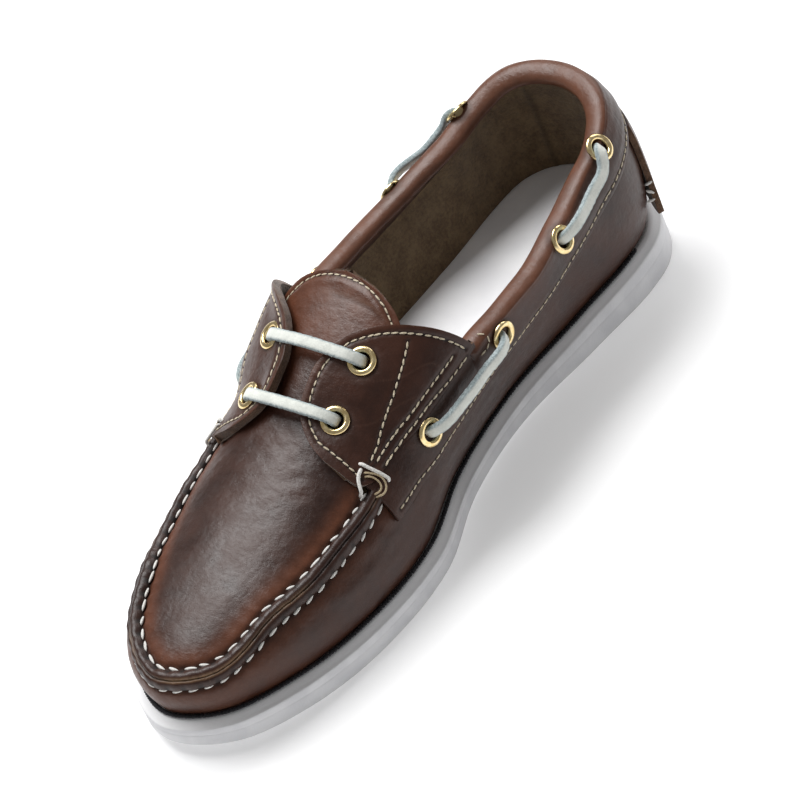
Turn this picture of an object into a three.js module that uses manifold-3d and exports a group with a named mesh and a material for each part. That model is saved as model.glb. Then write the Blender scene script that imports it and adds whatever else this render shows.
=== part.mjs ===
// Right boat shoe: a hand-sewn moccasin on a white rubber sole. Millimetres, toe -Y, medial +X, up +Z.
// A station looks outward from the spine of the last; v climbs its section from the sole to the crown.
import * as THREE from 'three';
import Module from 'manifold-3d';

const wallThick = 2.0;
const seatGap = 0.3;
const overlayGap = 0.6;
const overlayThick = 2.3;
const featherInset = 5.4;
const toeCentreY = -86;
const heelCentreY = 98;
const throatY = -35;
const shiftX = 0.36;
const shiftY = -2.82;

const eyelet = { flange: 5.1, hole: 3.0, barrel: 3.4, bore: 3.7, depth: 2.0, rise: 1.25 };
const lace = { wide: 4.4, thick: 3.2 };
const ridge = { wide: 5.8, high: 2.7 };
const cord = { radius: 0.72, inset: 4.0, lift: 1.0 };
const roll = { outer: 2.7, inner: -5.7, deep: 3.8 };

// Ground outline of the sole, toe first, up the medial side, round the heel and back.
const outlineRows = [
  { x: 4.0, y: -132.0 }, { x: 24.4, y: -122.8 }, { x: 38.2, y: -97.9 }, { x: 45.6, y: -63.0 },
  { x: 44.2, y: -31.5 }, { x: 32.6, y: 0.4 }, { x: 27.9, y: 35.0 }, { x: 31.2, y: 75.0 },
  { x: 33.4, y: 103.0 }, { x: 30.4, y: 119.4 }, { x: 19.4, y: 131.6 }, { x: 1.0, y: 135.5 },
  { x: -17.4, y: 131.6 }, { x: -28.4, y: 119.4 }, { x: -31.6, y: 102.0 }, { x: -31.8, y: 70.0 },
  { x: -35.1, y: 34.0 }, { x: -41.2, y: -1.5 }, { x: -46.0, y: -41.0 }, { x: -43.2, y: -75.4 },
  { x: -32.0, y: -106.5 }, { x: -15.0, y: -125.0 },
];

// Height of the sole's top and of its underside along the shoe.
const soleRows = [
  { y: -134, top: 14.2, under: 5.2 }, { y: -115, top: 13.0, under: 2.6 }, { y: -95, top: 11.7, under: 0.8 },
  { y: -74, top: 10.7, under: 0 }, { y: -30, top: 9.9, under: 0 }, { y: -10, top: 9.6, under: 0.6 },
  { y: 20, top: 10.0, under: 0.9 }, { y: 50, top: 11.6, under: 0.4 }, { y: 66, top: 12.6, under: 0 },
  { y: 100, top: 14.8, under: 0 }, { y: 136, top: 16.6, under: 0 },
];

// Spine offset and crown height of the last.
const spineRows = [
  { y: -86, x: 2.0, crown: 44.0 }, { y: -60, x: 1.2, crown: 51.2 }, { y: -36, x: 0.4, crown: 60.0 },
  { y: -20, x: 0, crown: 68.0 }, { y: 0, x: 0, crown: 77.8 }, { y: 15, x: 0, crown: 84.5 },
  { y: 30, x: 0.2, crown: 89.0 }, { y: 60, x: 0.8, crown: 92.0 }, { y: 98, x: 2.0, crown: 92.0 },
];

// Section shape: swell of each side, its lift, and the half-width of the shoulder.
const sectionRows = [
  { y: -128, medial: 7.0, lateral: 7.0, lift: 17, shoulder: 36.5 },
  { y: -105, medial: 7.5, lateral: 7.5, lift: 16, shoulder: 30.5 },
  { y: -80, medial: 8.0, lateral: 7.0, lift: 16, shoulder: 30.5 },
  { y: -56, medial: 8.0, lateral: 6.0, lift: 16, shoulder: 35.0 },
  { y: -38, medial: 9.5, lateral: 6.0, lift: 18, shoulder: 33.0 },
  { y: -27, medial: 11.0, lateral: 6.0, lift: 20, shoulder: 31.0 },
  { y: -13, medial: 13.0, lateral: 7.0, lift: 23, shoulder: 42.5 },
  { y: 4, medial: 16.5, lateral: 8.5, lift: 24, shoulder: 48.0 },
  { y: 22, medial: 18.5, lateral: 9.0, lift: 24, shoulder: 50.4 },
  { y: 36, medial: 18.0, lateral: 9.5, lift: 24, shoulder: 53.5 },
  { y: 50, medial: 16.5, lateral: 11.0, lift: 24, shoulder: 53.5 },
  { y: 75, medial: 11.5, lateral: 10.5, lift: 22, shoulder: 45.0 },
  { y: 98, medial: 10.5, lateral: 9.0, lift: 17, shoulder: 35.5 },
  { y: 110, medial: 11.5, lateral: 9.5, lift: 16, shoulder: 36.0 },
  { y: 120, medial: 11.0, lateral: 8.0, lift: 16, shoulder: 39.5 },
  { y: 130, medial: 6.5, lateral: 6.5, lift: 17, shoulder: 42.0 },
];

// Top line of the collar and lower edge of its band.
const collarRows = [
  { y: -38, top: 46.0, low: 31.6 }, { y: -25, top: 48.0, low: 31.6 }, { y: 0, top: 53.0, low: 31.2 },
  { y: 24, top: 57.2, low: 34.4 }, { y: 50, top: 57.4, low: 39.2 }, { y: 75, top: 60.6, low: 43.8 },
  { y: 98, top: 65.6, low: 50.4 }, { y: 112, top: 70.0, low: 55.2 }, { y: 124, top: 74.4, low: 59.4 },
  { y: 131, top: 76.0, low: 61.0 },
];

// Each wing: plan half-width of its inner edge, and height of its lower and rear edge.
const wingRows = [
  { y: -42.6, inner: 28.0, low: 47.6 }, { y: -41.4, inner: 18.6, low: 45.6 },
  { y: -38, inner: 11.4, low: 44.4 }, { y: -33, inner: 7.4, low: 45.0 }, { y: -27, inner: 5.6, low: 46.2 },
  { y: -20, inner: 5.6, low: 47.8 }, { y: -13, inner: 8.2, low: 49.4 }, { y: -6, inner: 14.0, low: 51.0 },
  { y: 1, inner: 22.4, low: 52.6 }, { y: 8, inner: 30.4, low: 54.0 }, { y: 14, inner: 35.6, low: 55.0 },
  { y: 20, inner: 39.6, low: 56.0 },
];

// Plan half-widths of the throat opening and of the tongue that fills it under the wings.
const throatRows = [
  { y: -35, half: 0, tongue: 0 }, { y: -34.2, half: 8.6, tongue: 5.4 }, { y: -31, half: 16, tongue: 14.8 },
  { y: -24, half: 21.5, tongue: 20.5 }, { y: -10, half: 26.6, tongue: 25.4 },
  { y: -2, half: 29.8, tongue: 27.2 }, { y: 3, half: 31.4, tongue: 26.2 }, { y: 7, half: 32.8, tongue: 21.6 },
  { y: 9.8, half: 33.8, tongue: 15.0 }, { y: 11.4, half: 34.4, tongue: 7.5 },
  { y: 12, half: 34.6, tongue: 1.0 },
  { y: 26, half: 39.0, tongue: 0 },
];

// Hand-sewn seam around the plug: its distance in from the sole outline.
const seamRows = [
  { a: 0, medial: 6.6, lateral: 6.8 }, { a: 0.3, medial: 6.4, lateral: 9.0 },
  { a: 0.6, medial: 7.8, lateral: 11.6 }, { a: 0.85, medial: 9.4, lateral: 13.0 },
  { a: 1.08, medial: 10.0, lateral: 13.0 }, { a: 1.28, medial: 9.6, lateral: 12.4 },
];

const throatEyelets = [
  { name: 'upper', medialY: -10.6, medialX: 20.6, lateralY: -11.0, lateralX: 18.6 },
  { name: 'lower', medialY: -27.6, medialX: 18.4, lateralY: -29.2, lateralX: 17.6 },
];

const sideEyelets = [
  { name: 'front', medialY: -12.8, medialZ: 45.2, lateralY: -17.2, lateralZ: 44.2 },
  { name: 'middle', medialY: 32.6, medialZ: 50.4, lateralY: 31.0, lateralZ: 50.4 },
  { name: 'rear', medialY: 71.6, medialZ: 53.0, lateralY: 71.0, lateralZ: 52.9 },
  { name: 'heel', medialA: 2.29, medialZ: 62.6, lateralA: 2.29, lateralZ: 63.0 },
];

const leather = new THREE.MeshStandardMaterial({ color: 0x4a2c22, roughness: 0.5, metalness: 0 });
leather.name = 'leather';
const rawhide = new THREE.MeshStandardMaterial({ color: 0xe6e8e2, roughness: 0.8, metalness: 0 });
rawhide.name = 'lace_leather';
const rubber = new THREE.MeshStandardMaterial({ color: 0xdcdce0, roughness: 0.6, metalness: 0 });
rubber.name = 'white_rubber';
const sock = new THREE.MeshStandardMaterial({ color: 0xd6d6d8, roughness: 0.7, metalness: 0 });
sock.name = 'insole_sock';
const brass = new THREE.MeshStandardMaterial({ color: 0xd8b878, roughness: 0.2, metalness: 1 });
brass.name = 'brass';
const thread = new THREE.MeshStandardMaterial({ color: 0x5a5c60, roughness: 0.9, metalness: 0 });
thread.name = 'welt_thread';

// Smooth table lookup that never overshoots its rows.
function look(rows, key, name, at) {
  const last = rows.length - 1;
  if (at <= rows[0][key]) {
    return rows[0][name];
  }
  if (at >= rows[last][key]) {
    return rows[last][name];
  }
  let i = 0;
  while (rows[i + 1][key] < at) {
    i += 1;
  }
  const slope = (k) => (rows[k + 1][name] - rows[k][name]) / (rows[k + 1][key] - rows[k][key]);
  const tangent = (k) => {
    if (k === 0 || k === last) {
      return k === 0 ? slope(0) : slope(last - 1);
    }
    const before = slope(k - 1);
    const after = slope(k);
    return before * after <= 0 ? 0 : (2 * before * after) / (before + after);
  };
  const span = rows[i + 1][key] - rows[i][key];
  const t = (at - rows[i][key]) / span;
  const t2 = t * t;
  const t3 = t2 * t;
  return rows[i][name] * (2 * t3 - 3 * t2 + 1) + rows[i + 1][name] * (3 * t2 - 2 * t3)
    + span * (tangent(i) * (t3 - 2 * t2 + t) + tangent(i + 1) * (t3 - t2));
}

const outline = new THREE.CatmullRomCurve3(
  outlineRows.map((row) => new THREE.Vector3(row.x, row.y, 0)), true, 'centripetal',
).getSpacedPoints(360).slice(0, 360);

const insetCache = new Map();

// The outline moved inward by a distance.
function insetOutline(distance) {
  if (!insetCache.has(distance)) {
    const count = outline.length;
    insetCache.set(distance, outline.map((point, i) => {
      const ahead = outline[(i + 1) % count];
      const behind = outline[(i + count - 1) % count];
      const along = new THREE.Vector3().subVectors(ahead, behind).normalize();
      return new THREE.Vector3(point.x - along.y * distance, point.y + along.x * distance, 0);
    }));
  }
  return insetCache.get(distance);
}

// A station: side 1 is medial, -1 lateral; a runs 0 at the toe, 1 to 2 along the spine, 3 at the heel.
function station(side, a) {
  const straight = Math.min(Math.max(a - 1, 0), 1);
  const y = toeCentreY + (heelCentreY - toeCentreY) * straight;
  const turn = (a < 1 ? a - 1 : Math.max(a - 2, 0)) * Math.PI / 2;
  return { side, a, x: look(spineRows, 'y', 'x', y), y, dx: side * Math.cos(turn), dy: Math.sin(turn) };
}

function atY(y) {
  return 1 + (y - toeCentreY) / (heelCentreY - toeCentreY);
}

// Distance from the spine to the outline, inset, along a station.
function reach(place, distance) {
  const ring = insetOutline(distance);
  let far = 0;
  for (let i = 0; i < ring.length; i += 1) {
    const p = ring[i];
    const q = ring[(i + 1) % ring.length];
    const ex = q.x - p.x;
    const ey = q.y - p.y;
    const cross = place.dx * ey - place.dy * ex;
    if (Math.abs(cross) > 1e-9) {
      const t = ((p.x - place.x) * ey - (p.y - place.y) * ex) / cross;
      const s = ((p.x - place.x) * place.dy - (p.y - place.y) * place.dx) / cross;
      if (s >= -1e-6 && s <= 1 + 1e-6 && t > far) {
        far = t;
      }
    }
  }
  return far;
}

const frameCache = new Map();

// The section's four control points at a station.
function frame(side, a) {
  const key = `${side}:${a.toFixed(6)}`;
  if (!frameCache.has(key)) {
    const place = station(side, a);
    const foot = reach(place, featherInset);
    const y = place.y + place.dy * foot;
    const swell = look(sectionRows, 'y', side > 0 ? 'medial' : 'lateral', y);
    const blend = Math.abs(place.dy);
    const other = look(sectionRows, 'y', side > 0 ? 'lateral' : 'medial', y);
    const even = swell + (other - swell) * 0.5 * blend;
    const crown = look(spineRows, 'y', 'crown', place.y);
    const crownAt = (at) => look(spineRows, 'y', 'crown', at);
    const rise = (crownAt(place.y + 1) - crownAt(place.y - 1)) / 2;
    const slope = place.a < 1 ? (crownAt(toeCentreY + 4) - crown) / 4 : rise;
    const shoulder = look(sectionRows, 'y', 'shoulder', y);
    const base = look(soleRows, 'y', 'top', y) + seatGap;
    frameCache.set(key, {
      place, y, slope,
      r: [foot, foot + even, shoulder, 0],
      z: [base, base + look(sectionRows, 'y', 'lift', y), crown + slope * place.dy * shoulder, crown],
    });
  }
  return frameCache.get(key);
}

function bezier(p, v) {
  const w = 1 - v;
  return w * w * w * p[0] + 3 * w * w * v * p[1] + 3 * w * v * v * p[2] + v * v * v * p[3];
}

function bare(side, a, v) {
  const f = frame(side, a);
  const r = bezier(f.r, v);
  return new THREE.Vector3(f.place.x + f.place.dx * r, f.place.y + f.place.dy * r, bezier(f.z, v));
}

// The same, carried over to the other side past the toe and the heel.
function wrapped(side, a, v) {
  if (a < 0) {
    return bare(-side, -a, v);
  }
  return a > 3 ? bare(-side, 6 - a, v) : bare(side, a, v);
}

// Outward normal of the last.
function facing(side, a, v) {
  const f = frame(side, a);
  if (v > 0.998) {
    return new THREE.Vector3(0, -f.slope, 1).normalize();
  }
  const h = 0.004;
  const up = bare(side, a, Math.min(v + h, 1)).sub(bare(side, a, Math.max(v - h, 0)));
  const along = wrapped(side, a + h, v).sub(wrapped(side, a - h, v));
  const normal = side > 0 ? along.cross(up) : up.cross(along);
  return normal.normalize();
}

// A point on the last, lifted along its normal.
function skin(side, a, v, lift) {
  return bare(side, a, v).addScaledVector(facing(side, a, v), lift);
}

// The v at which a section reaches a height.
function climb(side, a, z) {
  const f = frame(side, a);
  let low = 0;
  let high = 1;
  for (let i = 0; i < 30; i += 1) {
    const mid = (low + high) / 2;
    if (bezier(f.z, mid) < z) {
      low = mid;
    } else {
      high = mid;
    }
  }
  return (low + high) / 2;
}

// The v at which the upper part of a section is a distance from the spine.
function across(side, a, distance) {
  const f = frame(side, a);
  let widest = 0;
  for (let i = 0; i <= 40; i += 1) {
    if (bezier(f.r, i / 40) > bezier(f.r, widest)) {
      widest = i / 40;
    }
  }
  let low = widest;
  let high = 1;
  for (let i = 0; i < 30; i += 1) {
    const mid = (low + high) / 2;
    if (bezier(f.r, mid) > distance) {
      low = mid;
    } else {
      high = mid;
    }
  }
  return distance <= 0 ? 1 : (low + high) / 2;
}

// Half-width from the centreline, measured from x = 0 rather than from the spine.
function acrossX(side, a, half) {
  const f = frame(side, a);
  return half <= 0 ? 1 : across(side, a, Math.max(half - side * f.place.x, 0));
}

const root = new THREE.Group();
root.name = 'boat_shoe';
const pieces = new Map();

// Joins triangles of shared points into one closed solid.
function addSolid(name, triangles, material) {
  const index = new Map();
  const points = [];
  const faces = [];
  const keep = (p) => {
    const key = `${Math.round(p.x * 2000)},${Math.round(p.y * 2000)},${Math.round(p.z * 2000)}`;
    if (!index.has(key)) {
      index.set(key, points.length / 3);
      points.push(p.x + shiftX, p.y + shiftY, p.z);
    }
    return index.get(key);
  };
  triangles.forEach((t) => {
    const [a, b, c] = t.map(keep);
    if (a !== b && b !== c && a !== c) {
      faces.push(a, b, c);
    }
  });
  let volume = 0;
  for (let i = 0; i < faces.length; i += 3) {
    const [p, q, r] = [0, 1, 2].map((k) => new THREE.Vector3().fromArray(points, faces[i + k] * 3));
    volume += p.dot(q.cross(r));
  }
  if (volume < 0) {
    for (let i = 0; i < faces.length; i += 3) {
      [faces[i], faces[i + 1]] = [faces[i + 1], faces[i]];
    }
  }
  const geometry = new THREE.BufferGeometry();
  geometry.setAttribute('position', new THREE.Float32BufferAttribute(points, 3));
  geometry.setIndex(faces);
  const mesh = new THREE.Mesh(geometry, material);
  mesh.name = name;
  root.add(mesh);
  pieces.set(name, mesh);
  return mesh;
}

function quad(list, a, b, c, d) {
  list.push([a, b, c], [a, c, d]);
}

// A closed plate between an outer and an inner grid of points.
function plate(outer, inner) {
  const list = [];
  const rows = outer.length;
  const columns = outer[0].length;
  for (let i = 0; i + 1 < rows; i += 1) {
    for (let j = 0; j + 1 < columns; j += 1) {
      quad(list, outer[i][j], outer[i + 1][j], outer[i + 1][j + 1], outer[i][j + 1]);
      quad(list, inner[i][j + 1], inner[i + 1][j + 1], inner[i + 1][j], inner[i][j]);
    }
    quad(list, inner[i][0], inner[i + 1][0], outer[i + 1][0], outer[i][0]);
    const e = columns - 1;
    quad(list, outer[i][e], outer[i + 1][e], inner[i + 1][e], inner[i][e]);
  }
  for (let j = 0; j + 1 < columns; j += 1) {
    quad(list, outer[0][j], outer[0][j + 1], inner[0][j + 1], inner[0][j]);
    const e = rows - 1;
    quad(list, inner[e][j], inner[e][j + 1], outer[e][j + 1], outer[e][j]);
  }
  return list;
}

// A solid swept through rings of points; its ends are closed by the flat outline given.
function sweep(rings, flat, closed) {
  const list = [];
  const count = rings[0].length;
  const last = closed ? rings.length : rings.length - 1;
  for (let i = 0; i < last; i += 1) {
    const next = rings[(i + 1) % rings.length];
    for (let j = 0; j < count; j += 1) {
      const k = (j + 1) % count;
      quad(list, rings[i][j], next[j], next[k], rings[i][k]);
    }
  }
  if (!closed) {
    const clockwise = THREE.ShapeUtils.isClockWise(flat);
    const cuts = THREE.ShapeUtils.triangulateShape(flat, []);
    cuts.forEach(([a, b, c]) => {
      const first = rings[0];
      const end = rings[rings.length - 1];
      const [p, q] = clockwise ? [c, b] : [b, c];
      list.push([first[a], first[p], first[q]]);
      list.push([end[a], end[q], end[p]]);
    });
  }
  return list;
}

function range(from, to, steps) {
  return Array.from({ length: steps + 1 }, (_, i) => from + (to - from) * i / steps);
}

const toeStations = range(0, 1, 8);
const frontStations = range(atY(-78), atY(-42), 5);
const throatStations = [-36, -35, -34.2, -31, -26, -18, -8, 2, 12, 20].map(atY);
const quarterStations = range(atY(26), atY(90), 7);
const heelStations = range(2, 3, 8);
const stations = [...toeStations, ...frontStations, ...throatStations, ...quarterStations, ...heelStations];

// Sole: rings from the bottom edge up to the top ledge, with the line between its two bands.
const soleSteps = [
  { inset: 0.5, share: 0, drop: 0, low: 0 }, { inset: 0, share: 0, drop: 0, low: 0.6 },
  { inset: 0, share: 0.62, drop: 0, low: 0 }, { inset: 0.4, share: 0.65, drop: 0, low: 0 },
  { inset: 0.1, share: 1, drop: 1.6, low: 0 },
  { inset: 0.7, share: 1, drop: 0.9, low: 0 }, { inset: 3.4, share: 1, drop: 0, low: 0 },
];

function soleRing(step) {
  return [1, -1].map((side) => stations.map((a) => {
    const place = station(side, a);
    const edge = reach(place, step.inset);
    const y = place.y + place.dy * edge;
    const under = look(soleRows, 'y', 'under', y);
    const top = look(soleRows, 'y', 'top', y) - step.drop;
    const z = under + step.low + (top - under - step.low) * step.share;
    return new THREE.Vector3(place.x + place.dx * edge, y, z);
  }));
}

function stack(rings) {
  const list = [];
  const end = stations.length - 1;
  rings.slice(1).forEach((ring, i) => {
    const below = rings[i];
    for (let k = 0; k < end; k += 1) {
      quad(list, below[0][k], below[0][k + 1], ring[0][k + 1], ring[0][k]);
      quad(list, ring[1][k], ring[1][k + 1], below[1][k + 1], below[1][k]);
    }
  });
  const top = rings[rings.length - 1];
  const low = rings[0];
  for (let k = 0; k < end; k += 1) {
    quad(list, top[1][k], top[0][k], top[0][k + 1], top[1][k + 1]);
    quad(list, low[0][k], low[1][k], low[1][k + 1], low[0][k + 1]);
  }
  return list;
}

addSolid('outsole', stack(soleSteps.map(soleRing)), rubber);

// Insole: a footbed inside the upper, thick under the heel and the waist and thin under the toes.
const footbedRows = [
  { y: -134, high: 2.8 }, { y: -48, high: 2.8 }, { y: -22, high: 4.4 }, { y: 14, high: 8.2 },
  { y: 50, high: 9.4 }, { y: 136, high: 9.4 },
];
const insoleSteps = [
  { share: 0, below: 0, inset: 0 }, { share: 1, below: 0.5, inset: 0 }, { share: 1, below: 0, inset: 0.7 },
];
addSolid('insole', stack(insoleSteps.map((step) => [1, -1].map((side) => stations.map((a) => {
  const place = station(side, a);
  const edge = reach(place, 8.2 + step.inset);
  const y = place.y + place.dy * edge;
  const high = look(footbedRows, 'y', 'high', y);
  const z = look(soleRows, 'y', 'top', y) + 0.3 + (high - 0.3 - step.below) * step.share;
  const wall = skin(side, a, climb(side, a, z), -wallThick - 0.9 - step.inset);
  const widen = step.share * THREE.MathUtils.smoothstep(y, -44, -8);
  return new THREE.Vector3(
    THREE.MathUtils.lerp(place.x + place.dx * edge, wall.x, widen), THREE.MathUtils.lerp(y, wall.y, widen), z);
})))), sock);

// The upper ends at the crown in front of the throat, and below the collar roll behind it.
function upperTop(side, a) {
  const f = frame(side, a);
  if (f.place.y <= throatY + 1e-6 || a < 1) {
    return 1;
  }
  const open = acrossX(side, a, look(throatRows, 'y', 'half', f.place.y));
  if (a < atY(18)) {
    return open;
  }
  return climb(side, a, look(collarRows, 'y', 'top', f.y) - roll.deep - seatGap);
}

const climbSteps = [0, 0.12, 0.27, 0.42, 0.56, 0.7, 0.84, 1];
const upperFaces = [];
[1, -1].forEach((side) => {
  const outer = stations.map((a) => climbSteps.map((t) => skin(side, a, t * upperTop(side, a), 0)));
  const inner = stations.map((a) => climbSteps.map((t) => skin(side, a, t * upperTop(side, a), -wallThick)));
  inner.forEach((row, i) => {
    row[0].z = outer[i][0].z;
  });
  const end = climbSteps.length - 1;
  stations.slice(1).forEach((a, i) => {
    const faces = [];
    for (let j = 0; j < end; j += 1) {
      quad(faces, outer[i][j], outer[i + 1][j], outer[i + 1][j + 1], outer[i][j + 1]);
      quad(faces, inner[i][j + 1], inner[i + 1][j + 1], inner[i + 1][j], inner[i][j]);
    }
    quad(faces, inner[i][0], inner[i + 1][0], outer[i + 1][0], outer[i][0]);
    if (a > atY(throatY) + 1e-6) {
      quad(faces, outer[i][end], outer[i + 1][end], inner[i + 1][end], inner[i][end]);
    }
    faces.forEach((t) => upperFaces.push(side > 0 ? t : [t[0], t[2], t[1]]));
  });
});
addSolid('upper', upperFaces, leather);

// Tongue: fills the throat flush with the plug and stands up behind the wings.
const tongueY = [-34.5, -33.6, -31, -26, -18, -9, -3, 2, 6, 9, 11.2, 11.9];
const tongueAcross = range(-1, 1, 8);
function tongueGrid(lift) {
  return tongueY.map((y) => tongueAcross.map((share) => {
    const side = share < 0 ? -1 : 1;
    const half = look(throatRows, 'y', 'tongue', y) * Math.abs(share);
    return skin(side, atY(y), acrossX(side, atY(y), half), lift);
  }));
}
addSolid('tongue', plate(tongueGrid(0), tongueGrid(-wallThick)), leather);

// Wings: the saddle pieces that carry the throat eyelets.
const wingY = [-42.5, -41.6, -39.6, -36, -31, -25, -18, -11, -4, 3, 10, 16];
function wingGrid(side, lift) {
  return wingY.map((y) => range(0, 1, 6).map((share) => {
    const low = climb(side, atY(y), look(wingRows, 'y', 'low', y));
    const high = acrossX(side, atY(y), look(wingRows, 'y', 'inner', y));
    return skin(side, atY(y), low + (high - low) * share, lift);
  }));
}


// Collar band: over each quarter from the wing's rear edge round the heel, up to the roll.
const bandY = [-38.5, -36, -31, -26, -18, -8, 2, 12, 20];
const sideY = [26, 34, 44, 56, 68, 80, 90];
const bandStations = [...bandY.map(atY), ...sideY.map(atY), ...heelStations];

function bandEdges(side, a) {
  const f = frame(side, a);
  const low = look(collarRows, 'y', 'low', f.y);
  if (a < atY(23)) {
    const high = look(wingRows, 'y', 'low', f.place.y) - 0.5;
    const start = THREE.MathUtils.smoothstep(a, atY(-42), atY(-36));
    return [climb(side, a, THREE.MathUtils.lerp(high - 2, low, start)), climb(side, a, high)];
  }
  return [climb(side, a, low), climb(side, a, look(collarRows, 'y', 'top', f.y) - roll.deep - 0.2)];
}

function bandGrid(lift) {
  const row = (side, a) => {
    const [low, high] = bandEdges(side, a);
    return range(0, 1, 3).map((share) => skin(side, a, low + (high - low) * share, lift));
  };
  const medial = bandStations.map((a) => row(1, a));
  const lateral = bandStations.slice(0, -1).map((a) => row(-1, a)).reverse();
  return [...medial, ...lateral];
}

const collarBand = plate(bandGrid(overlayGap + overlayThick), bandGrid(overlayGap));

// Collar roll: the padded top line, seated on the rim of the upper.
const rollStations = [25.8, 26.6, 28.4, 35, 44, 56, 68, 80, 90].map(atY).concat(heelStations);
const rollShape = range(0, 330, 11).map((turn) => {
  const angle = THREE.MathUtils.degToRad(turn);
  const squareCos = Math.sign(Math.cos(angle)) * Math.abs(Math.cos(angle)) ** 0.8;
  const squareSin = Math.sign(Math.sin(angle)) * Math.abs(Math.sin(angle)) ** 0.8;
  return new THREE.Vector2(squareCos, squareSin);
});

function rollRing(side, a, shrink) {
  const f = frame(side, a);
  const top = look(collarRows, 'y', 'top', f.y);
  const middle = (roll.outer + roll.inner) / 2;
  const half = (roll.outer - roll.inner) / 2 * shrink;
  const tall = roll.deep / 2;
  const seat = climb(side, a, top - tall);
  const up = bare(side, a, Math.min(seat + 0.01, 1)).sub(bare(side, a, seat - 0.01)).normalize();
  return rollShape.map((p) => {
    const point = skin(side, a, seat, middle + p.x * half);
    return point.addScaledVector(up, p.y * tall * shrink);
  });
}

const rollEnds = [0.55, 0.86, 1];
const medialRings = rollStations.map((a, i) => rollRing(1, a, rollEnds[Math.min(i, 2)]));
const lateralRings = rollStations.slice(0, -1).map((a, i) => rollRing(-1, a, rollEnds[Math.min(i, 2)]));
addSolid('collar_roll', sweep([...medialRings, ...lateralRings.reverse()], rollShape, false), leather);

// Heel kicker: the stout patch below the band, with raw edges.
const kickerShares = range(-1, 1, 8);
const kickerFlare = 3.0;
function kickerGrid(lift) {
  return range(0, 1, 5).map((height) => kickerShares.map((share) => {
    const side = share < 0 ? -1 : 1;
    const reachA = THREE.MathUtils.lerp(0.54, 0.46, height);
    const a = 3 - reachA * Math.abs(share);
    const high = look(collarRows, 'y', 'low', frame(side, a).y) - 0.4;
    const flare = kickerFlare * Math.abs(share) ** 4 * (1 - height) ** 2;
    return skin(side, a, climb(side, a, THREE.MathUtils.lerp(22.5, high, height)), lift + flare);
  }));
}
addSolid('heel_kicker', plate(kickerGrid(overlayGap + 3.0), kickerGrid(overlayGap + 0.3)), leather);

// Hand-sewn ridge around the plug.
const seamMedial = [...range(0, 1, 8), ...range(1.04, atY(-43.8), 5)];
const seamLateral = [...range(0, 1, 8), ...range(1.04, atY(-45.5), 5)];
const ridgeShape = [
  { across: -0.5, up: 0 }, { across: -0.42, up: 0.6 }, { across: -0.14, up: 1 },
  { across: 0.14, up: 1 }, { across: 0.42, up: 0.6 }, { across: 0.5, up: 0 },
];

function seamV(side, a) {
  const inset = look(seamRows, 'a', side > 0 ? 'medial' : 'lateral', a);
  return across(side, a, reach(station(side, a), 0) - inset);
}

const ridgeFlat = ridgeShape.map((p) => new THREE.Vector2(p.across, p.up));
function ridgeRing(side, a) {
  const v = seamV(side, a);
  const step = bare(side, a, v + 0.01).distanceTo(bare(side, a, v)) / 0.01;
  return ridgeShape.map((p) => {
    const up = overlayGap + p.up * ridge.high;
    return skin(side, a, v + p.across * ridge.wide / step, up);
  });
}
const ridgeRings = [
  ...seamMedial.slice().reverse().map((a) => ridgeRing(1, a)),
  ...seamLateral.slice(1).map((a) => ridgeRing(-1, a)),
];
addSolid('plug_seam_ridge', sweep(ridgeRings, ridgeFlat, false), leather);

// Welt cord: lies in the angle between the upper and the sole, round the forepart.
const cordMedial = [...toeStations, ...[-78, -66, -54, -42, -30, -18, -8].map(atY)];
const cordShape = range(0, 300, 5).map((turn) => {
  const angle = THREE.MathUtils.degToRad(turn);
  return new THREE.Vector2(Math.cos(angle), Math.sin(angle));
});
function cordRing(side, a) {
  const place = station(side, a);
  const middle = reach(place, cord.inset);
  const top = look(soleRows, 'y', 'top', place.y + place.dy * middle) + cord.lift;
  return cordShape.map((p) => {
    const r = middle + p.x * cord.radius;
    return new THREE.Vector3(place.x + place.dx * r, place.y + place.dy * r, top + p.y * cord.radius);
  });
}
const cordRings = [
  ...cordMedial.slice().reverse().map((a) => cordRing(1, a)),
  ...cordMedial.slice(1).map((a) => cordRing(-1, a)),
];
addSolid('welt_cord', sweep(cordRings, cordShape, false), thread);

// Eyelets: a rolled brass flange on the leather and a short barrel through it.
const faceLift = overlayGap + overlayThick;
const eyeletSteps = [
  { r: eyelet.hole, up: -eyelet.depth }, { r: eyelet.barrel, up: -eyelet.depth },
  { r: eyelet.barrel, up: 0.42 }, { r: eyelet.flange, up: 0.42 },
  { r: eyelet.flange - 0.5, up: eyelet.rise }, { r: eyelet.hole, up: eyelet.rise },
];

function seat(side, a, v) {
  const normal = facing(side, a, v);
  const along = wrapped(side, a + 0.01, v).sub(wrapped(side, a - 0.01, v)).normalize();
  const over = new THREE.Vector3().crossVectors(normal, along).normalize();
  return { side, point: skin(side, a, v, faceLift), normal, along: over.clone().cross(normal), over };
}

function addEyelet(name, at, lift) {
  const rings = range(0, 330, 11).map((turn) => {
    const angle = THREE.MathUtils.degToRad(turn);
    const out = at.along.clone().multiplyScalar(Math.cos(angle)).addScaledVector(at.over, Math.sin(angle));
    return eyeletSteps.map((s) => {
      const up = s.up > 0 ? s.up + lift : s.up;
      return at.point.clone().addScaledVector(out, s.r).addScaledVector(at.normal, up);
    });
  });
  addSolid(name, sweep(rings, null, true), brass);
}

const wasm = await Module();
wasm.setup();

function toManifold(mesh) {
  return new wasm.Manifold(new wasm.Mesh({
    numProp: 3,
    vertProperties: new Float32Array(mesh.geometry.attributes.position.array),
    triVerts: new Uint32Array(mesh.geometry.index.array),
  }));
}

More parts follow.
